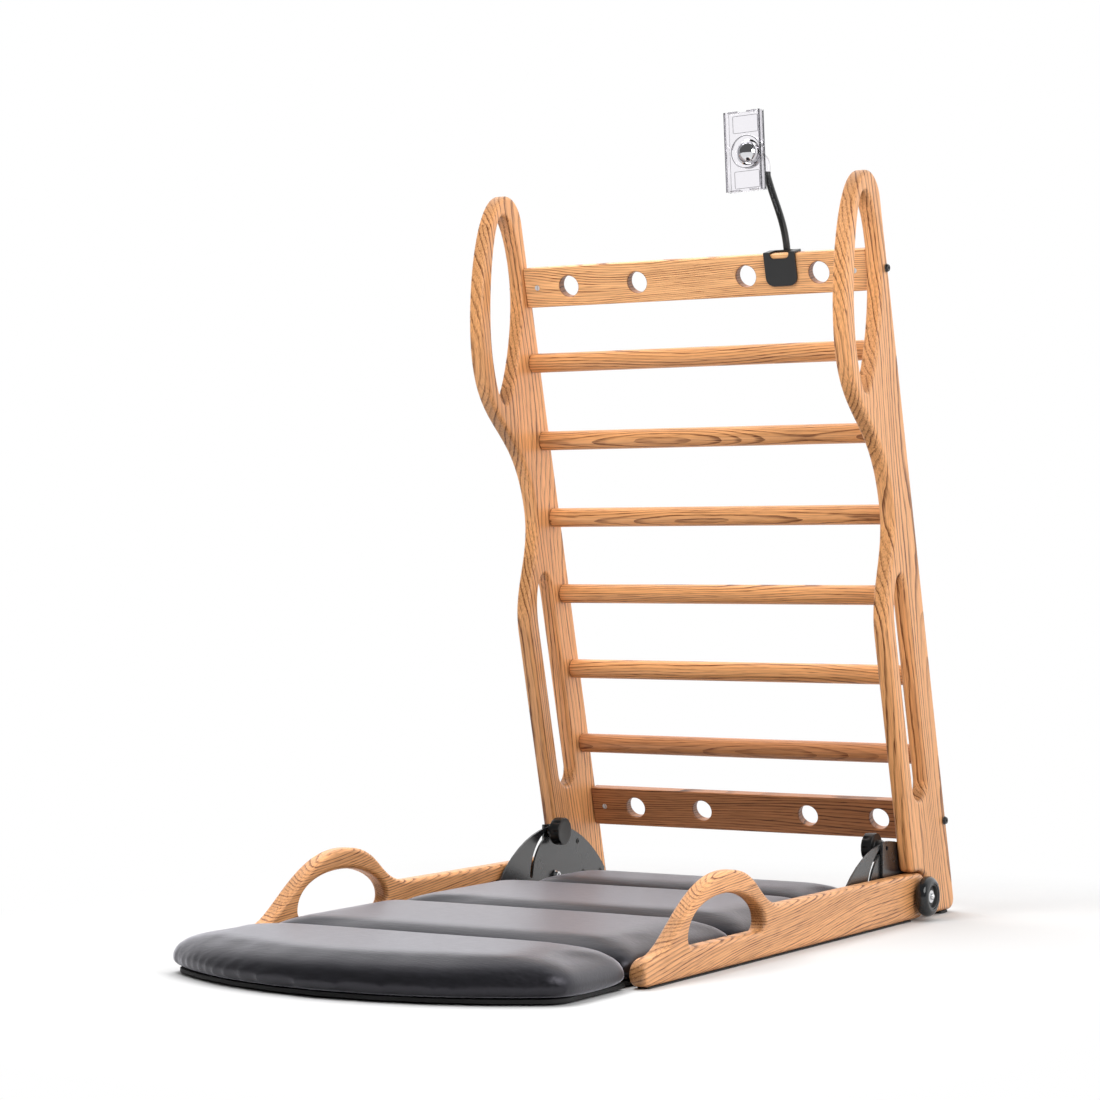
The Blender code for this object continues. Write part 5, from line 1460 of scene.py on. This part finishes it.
class TRAINER_OT_phone_holder(bpy.types.Operator):
    """Clip on the top board, gooseneck, ball and clear phone cradle"""
    bl_idname = "trainer.phone_holder"
    bl_label = "Phone holder"

    def execute(self, context):
        made = softened("phone_clip", "moulded_clip", finish("plastic"), sizes().plastic_edge, 3)
        stand_in(made, "clip", "black_plastic", "phone_clip")
        level = Matrix.Rotation(-LEAN, 3, "X")
        rise = level @ Vector((0, 0, 1))
        back = level @ Vector((0, 1, 0))
        top = TOP_BOARD_UP + BOARD_H / 2 + SEAT
        socket_y = BOARD_BACK + SEAT + CLIP_T + NECK_SOCKET_R * 0.8
        foot = Vector((CLIP_X, socket_y, top + CLIP_T / 2 + SEAT))
        neck_end = foot + level @ Vector((-NECK_LEFT, NECK_BACK, NECK_RISE))
        neck_top = neck_end - rise * NECK_R
        route = interpolate_bezier(foot + Vector((0, 0, NECK_R)), foot + Vector((0, 0, NECK_RISE * 0.40)),
                                   neck_top - level @ Vector((-NECK_LEFT, 0, NECK_RISE)) * 0.35, neck_top, 40)
        made = self.tube("sleeved_neck", [foot, *route, neck_end], NECK_R, finish("plastic"))
        stand_in(made, "clip", "black_plastic", "neck")
        ball = neck_end + level @ BALL_FROM_NECK
        arm_start = neck_end + rise * SEAT
        arm_end = ball + back * (BALL_R + SEAT)
        route = interpolate_bezier(arm_start + rise * ARM_R, arm_start + rise * BALL_FROM_NECK.z,
                                   arm_end + back * (abs(BALL_FROM_NECK.y) * 0.4), arm_end + back * ARM_R, 28)
        made = self.tube("clear_arm", [arm_start, *route, arm_end], ARM_R, finish("clear"))
        stand_in(made, "clip", "clear_plastic", "ball_arm")
        centre = Vector(JOINTS["cradle_turn"]["pos_m"])
        self.ball(centre)
        self.cradle(centre)
        return {"FINISHED"}

    def tube(self, name, route, radius, look):
        """A smooth round tube along points of the ladder frame, with filled ends."""
        path = bpy.data.curves.new(name, "CURVE")
        path.dimensions = "3D"
        path.bevel_depth = radius
        path.bevel_resolution = 8
        path.use_fill_caps = True
        line = path.splines.new("POLY")
        line.points.add(len(route) - 1)
        for spot, point in zip(line.points, route):
            spot.co = (*(LADDER @ point), 1)
        drawn = bpy.data.objects.new(name + "_path", path)
        bpy.context.scene.collection.objects.link(drawn)
        graph = bpy.context.evaluated_depsgraph_get()
        mesh = bpy.data.meshes.new_from_object(drawn.evaluated_get(graph), depsgraph=graph)
        bpy.data.objects.remove(drawn, do_unlink=True)
        bm = bmesh.new()
        bm.from_mesh(mesh)
        bpy.data.meshes.remove(mesh)
        bmesh.ops.remove_doubles(bm, verts=bm.verts, dist=1e-6)
        bmesh.ops.recalc_face_normals(bm, faces=bm.faces)
        return piece(name, bm, look)

    def ball(self, centre):
        """A polished ball with a turned flat where the arm meets it."""
        angles = [BALL_FLAT + (math.pi - BALL_FLAT) * k / 31 for k in range(32)]
        rounds = [(BALL_R * math.cos(a), BALL_R * math.sin(a)) for a in angles[:-1]]
        profile = [(rounds[0][0], 0), *rounds, (-BALL_R, 0)]
        solid = moved(lathe(profile, 64), Matrix.Translation(centre) @ TURN_TO_Y)
        made = piece("polished_ball", solid, finish("chrome"))
        stand_in(made, "ball", "chrome", "swivel_ball")

    def cradle(self, centre):
        """Clear cradle: a sheet with a ring for the ball, side rims, catches and moulded panel lines, with
        thin strips of darker plastic on its edges and panel lines as painted shade.
        """
        place = Matrix.Translation(centre) @ Matrix.Rotation(CRADLE_ROLL, 4, "Y")
        half_w = CRADLE_W / 2
        half_h = CRADLE_H / 2
        back = CRADLE_T / 2 - CRADLE_SET
        face = back - CRADLE_T
        front = face - CRADLE_RIM_D
        clear = [plate("y", face, back, rectangle(-half_w, half_w, -half_h, half_h, CRADLE_CORNER_R),
                       [circle((0, 0), CRADLE_RING_R + SEAT, 64)], CRADLE_EDGE_R, 3)]
        lip = face - CRADLE_T / 2
        ring = [(lip + RING_CHAMFER, CRADLE_RING_R), (lip, CRADLE_RING_R - RING_CHAMFER),
                (lip, CRADLE_MOUTH_R + RING_CHAMFER), (lip + RING_CHAMFER, CRADLE_MOUTH_R),
                (-CRADLE_SET, CRADLE_MOUTH_R + 2 * SEAT), (lip + CRADLE_RING_D, BALL_R + BALL_PLAY),
                (lip + CRADLE_RING_D, CRADLE_RING_R)]
        clear.append(moved(lathe(ring, 64, closed=True), TURN_TO_Y))
        # Thin strips of the darker plastic on the ring, along the rims and as panel lines: painted shade for
        # the dark edges of clear plastic
        line = CRADLE_RIM_T / 4
        edges = [plate("y", lip - line, lip - SEAT / 2, circle((0, 0), CRADLE_RING_R - line, 64),
                       [circle((0, 0), CRADLE_RING_R - 2.5 * line, 64)])]
        for end in (-1, 1):
            rim = rectangle(front, face - SEAT, -half_h, half_h, 0.001, 4)
            low, high = sorted((end * half_w, end * (half_w - CRADLE_RIM_T)))
            clear.append(plate("x", low, high, rim, (), CRADLE_RIM_EDGE_R, 2))
            low, high = sorted((end * half_w, end * (half_w + 2 * line)))
            for y in (front, back - 2 * line):
                edges.append(plate("x", low, high, rectangle(y, y + 2 * line, -half_h, half_h, line / 2, 2)))
            low, high = sorted((end * (CRADLE_RING_R + 0.004), end * (half_h - 0.006)))
            panel = half_w * PANEL_SHARE
            outer = rectangle(-panel, panel, low, high, 0.002, 4)
            inner = rectangle(-panel + line, panel - line, low + line, high - line, 0.001, 4)
            edges.append(plate("y", face - line, face - SEAT / 2, outer, [inner]))
            for name, side in SIDES:
                low, high = sorted((side * (half_w - 2 * CRADLE_LIP), side * (half_w - CRADLE_LIP / 2)))
                catch = rectangle(low, high, front, face - SEAT, 0.001, 4)
                low, high = sorted((end * half_h, end * (half_h - CRADLE_RIM_T)))
                clear.append(plate("z", low, high, catch, (), CRADLE_RIM_EDGE_R, 2))
        made = piece("clear_cradle", moved(joined(clear), place), finish("clear"))
        flat_faces_kept(made)
        stand_in(made, "cradle", "clear_plastic", "phone_cradle")
        made = piece("cradle_rims", moved(joined(edges), place), finish("clear_painted_dark_edge"))
        flat_faces_kept(made)
        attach(made, "cradle")


class TRAINER_OT_stage(bpy.types.Operator):
    """Pale floor, soft studio light and the camera"""
    bl_idname = "trainer.stage"
    bl_label = "Stage"

    def execute(self, context):
        scene = context.scene
        scene.view_settings.view_transform = "Standard"
        self.floor()
        self.sky(scene)
        for name, place, size, mirrored in LAMPS:
            self.lamp(name + "_lamp", place, getattr(scene.trainer_stage, name), size, mirrored)
        self.camera(scene)
        return {"FINISHED"}

    def floor(self):
        """A wide floor whose far part fades into the white of the sky."""
        bm = bmesh.new()
        bmesh.ops.create_grid(bm, x_segments=8, y_segments=8, size=FLOOR_HALF)
        made, tree, shader = new_material("matt_studio_floor", 0.9)
        shader.inputs["Base Color"].default_value = colours().floor
        shader.inputs["Specular IOR Level"].default_value = 0.0
        spot = add(tree, "ShaderNodeTexCoord").outputs["Object"]
        half = (CAD_BOX[1] - CAD_BOX[0]) / 2
        foot = (half.x, half.y, 0)
        out = add(tree, "ShaderNodeVectorMath", {0: spot}, operation="ABSOLUTE").outputs[0]
        out = add(tree, "ShaderNodeVectorMath", {0: out, 1: foot}, operation="SUBTRACT").outputs[0]
        out = add(tree, "ShaderNodeVectorMath", {0: out, 1: (0, 0, 0)}, operation="MAXIMUM").outputs[0]
        away = add(tree, "ShaderNodeVectorMath", {0: out}, operation="LENGTH").outputs["Value"]
        fade = add(tree, "ShaderNodeMapRange", {0: away, 1: FLOOR_FADE[0], 2: FLOOR_FADE[1]},
                   interpolation_type="SMOOTHSTEP").outputs[0]
        path = add(tree, "ShaderNodeLightPath").outputs
        seen = path["Is Camera Ray"]
        for ray in ("Is Glossy Ray", "Is Transmission Ray"):
            seen = add(tree, "ShaderNodeMath", {0: seen, 1: path[ray]}, operation="ADD", use_clamp=True)
            seen = seen.outputs[0]
        fade = add(tree, "ShaderNodeMath", {0: fade, 1: seen}, operation="MULTIPLY").outputs[0]
        white = add(tree, "ShaderNodeEmission", {"Color": (1, 1, 1, 1), "Strength": 1.0}).outputs[0]
        mixed = add(tree, "ShaderNodeMixShader", {0: fade, 1: shader.outputs[0], 2: white}).outputs[0]
        tree.links.new(mixed, tree.nodes["Material Output"].inputs["Surface"])
        floor = piece("studio_floor", bm, made)

    def sky(self, scene):
        """A white backdrop behind the object and a dimmer room in front; the camera sees it all as white."""
        world = bpy.data.worlds.new("studio_sky")
        world.use_nodes = True
        tree = world.node_tree
        light = scene.trainer_stage
        way = add(tree, "ShaderNodeTexCoord").outputs["Generated"]
        behind = add(tree, "ShaderNodeSeparateXYZ", {0: way}).outputs[1]
        level = add(tree, "ShaderNodeMapRange",
                    {0: behind, 1: SKY_EDGE[0], 2: SKY_EDGE[1], 3: light.room, 4: light.backdrop},
                    interpolation_type="SMOOTHSTEP").outputs[0]
        seen = add(tree, "ShaderNodeLightPath").outputs["Is Camera Ray"]
        level = add(tree, "ShaderNodeMapRange", {0: seen, 3: level, 4: 1.0}).outputs[0]
        back = tree.nodes["Background"]
        back.inputs["Color"].default_value = (1, 1, 1, 1)
        tree.links.new(level, back.inputs["Strength"])
        scene.world = world

    def lamp(self, name, place, power, size, mirrored):
        """A round lamp aimed at the object; a lamp that is not mirrored leaves no highlight."""
        data = bpy.data.lights.new(name, "AREA")
        data.energy = power
        data.shape = "DISK"
        data.size = size
        made = bpy.data.objects.new(name, data)
        made.location = place
        made.visible_glossy = mirrored
        aim = LAMP_AIM - Vector(place)
        made.rotation_euler = aim.to_track_quat("-Z", "Y").to_euler()
        bpy.context.scene.collection.objects.link(made)

    def camera(self, scene):
        """The photograph's viewpoint."""
        data = bpy.data.cameras.new("camera")
        data.lens = CAMERA_LENS
        data.sensor_width = CAMERA_SENSOR
        made = bpy.data.objects.new("camera", data)
        made.location = CAMERA_PLACE
        made.rotation_euler = CAMERA_TURN
        scene.collection.objects.link(made)
        scene.camera = made


class TRAINER_PT_panel(bpy.types.Panel):
    """Lists the steps that dress the trainer"""
    bl_idname = "TRAINER_PT_panel"
    bl_label = "Ladder trainer"
    bl_space_type = "VIEW_3D"
    bl_region_type = "UI"
    bl_category = "Ladder trainer"

    def draw(self, context):
        for step in STEPS:
            self.layout.operator(step.bl_idname)


STEPS = (TRAINER_OT_stage, TRAINER_OT_uprights, TRAINER_OT_rungs, TRAINER_OT_boards, TRAINER_OT_rails,
         TRAINER_OT_base_board, TRAINER_OT_pads, TRAINER_OT_hinges, TRAINER_OT_board_bolts, TRAINER_OT_knobs,
         TRAINER_OT_wheels, TRAINER_OT_phone_holder)
GROUPS = (TRAINER_PG_sizes, TRAINER_PG_colours, TRAINER_PG_stage)


def register():
    """Make the classes and settings known."""
    for kind in (*GROUPS, *STEPS, TRAINER_PT_panel):
        bpy.utils.register_class(kind)
    bpy.types.Scene.trainer_sizes = PointerProperty(type=TRAINER_PG_sizes)
    bpy.types.Scene.trainer_colours = PointerProperty(type=TRAINER_PG_colours)
    bpy.types.Scene.trainer_stage = PointerProperty(type=TRAINER_PG_stage)


def unregister():
    """Take the settings and classes away again."""
    del bpy.types.Scene.trainer_stage
    del bpy.types.Scene.trainer_colours
    del bpy.types.Scene.trainer_sizes
    for kind in reversed((*GROUPS, *STEPS, TRAINER_PT_panel)):
        bpy.utils.unregister_class(kind)


def main():
    """Dress the trainer step by step."""
    register()
    for step in STEPS:
        group, name = step.bl_idname.split(".")
        getattr(getattr(bpy.ops, group), name)()


if __name__ == "__main__":
    main()
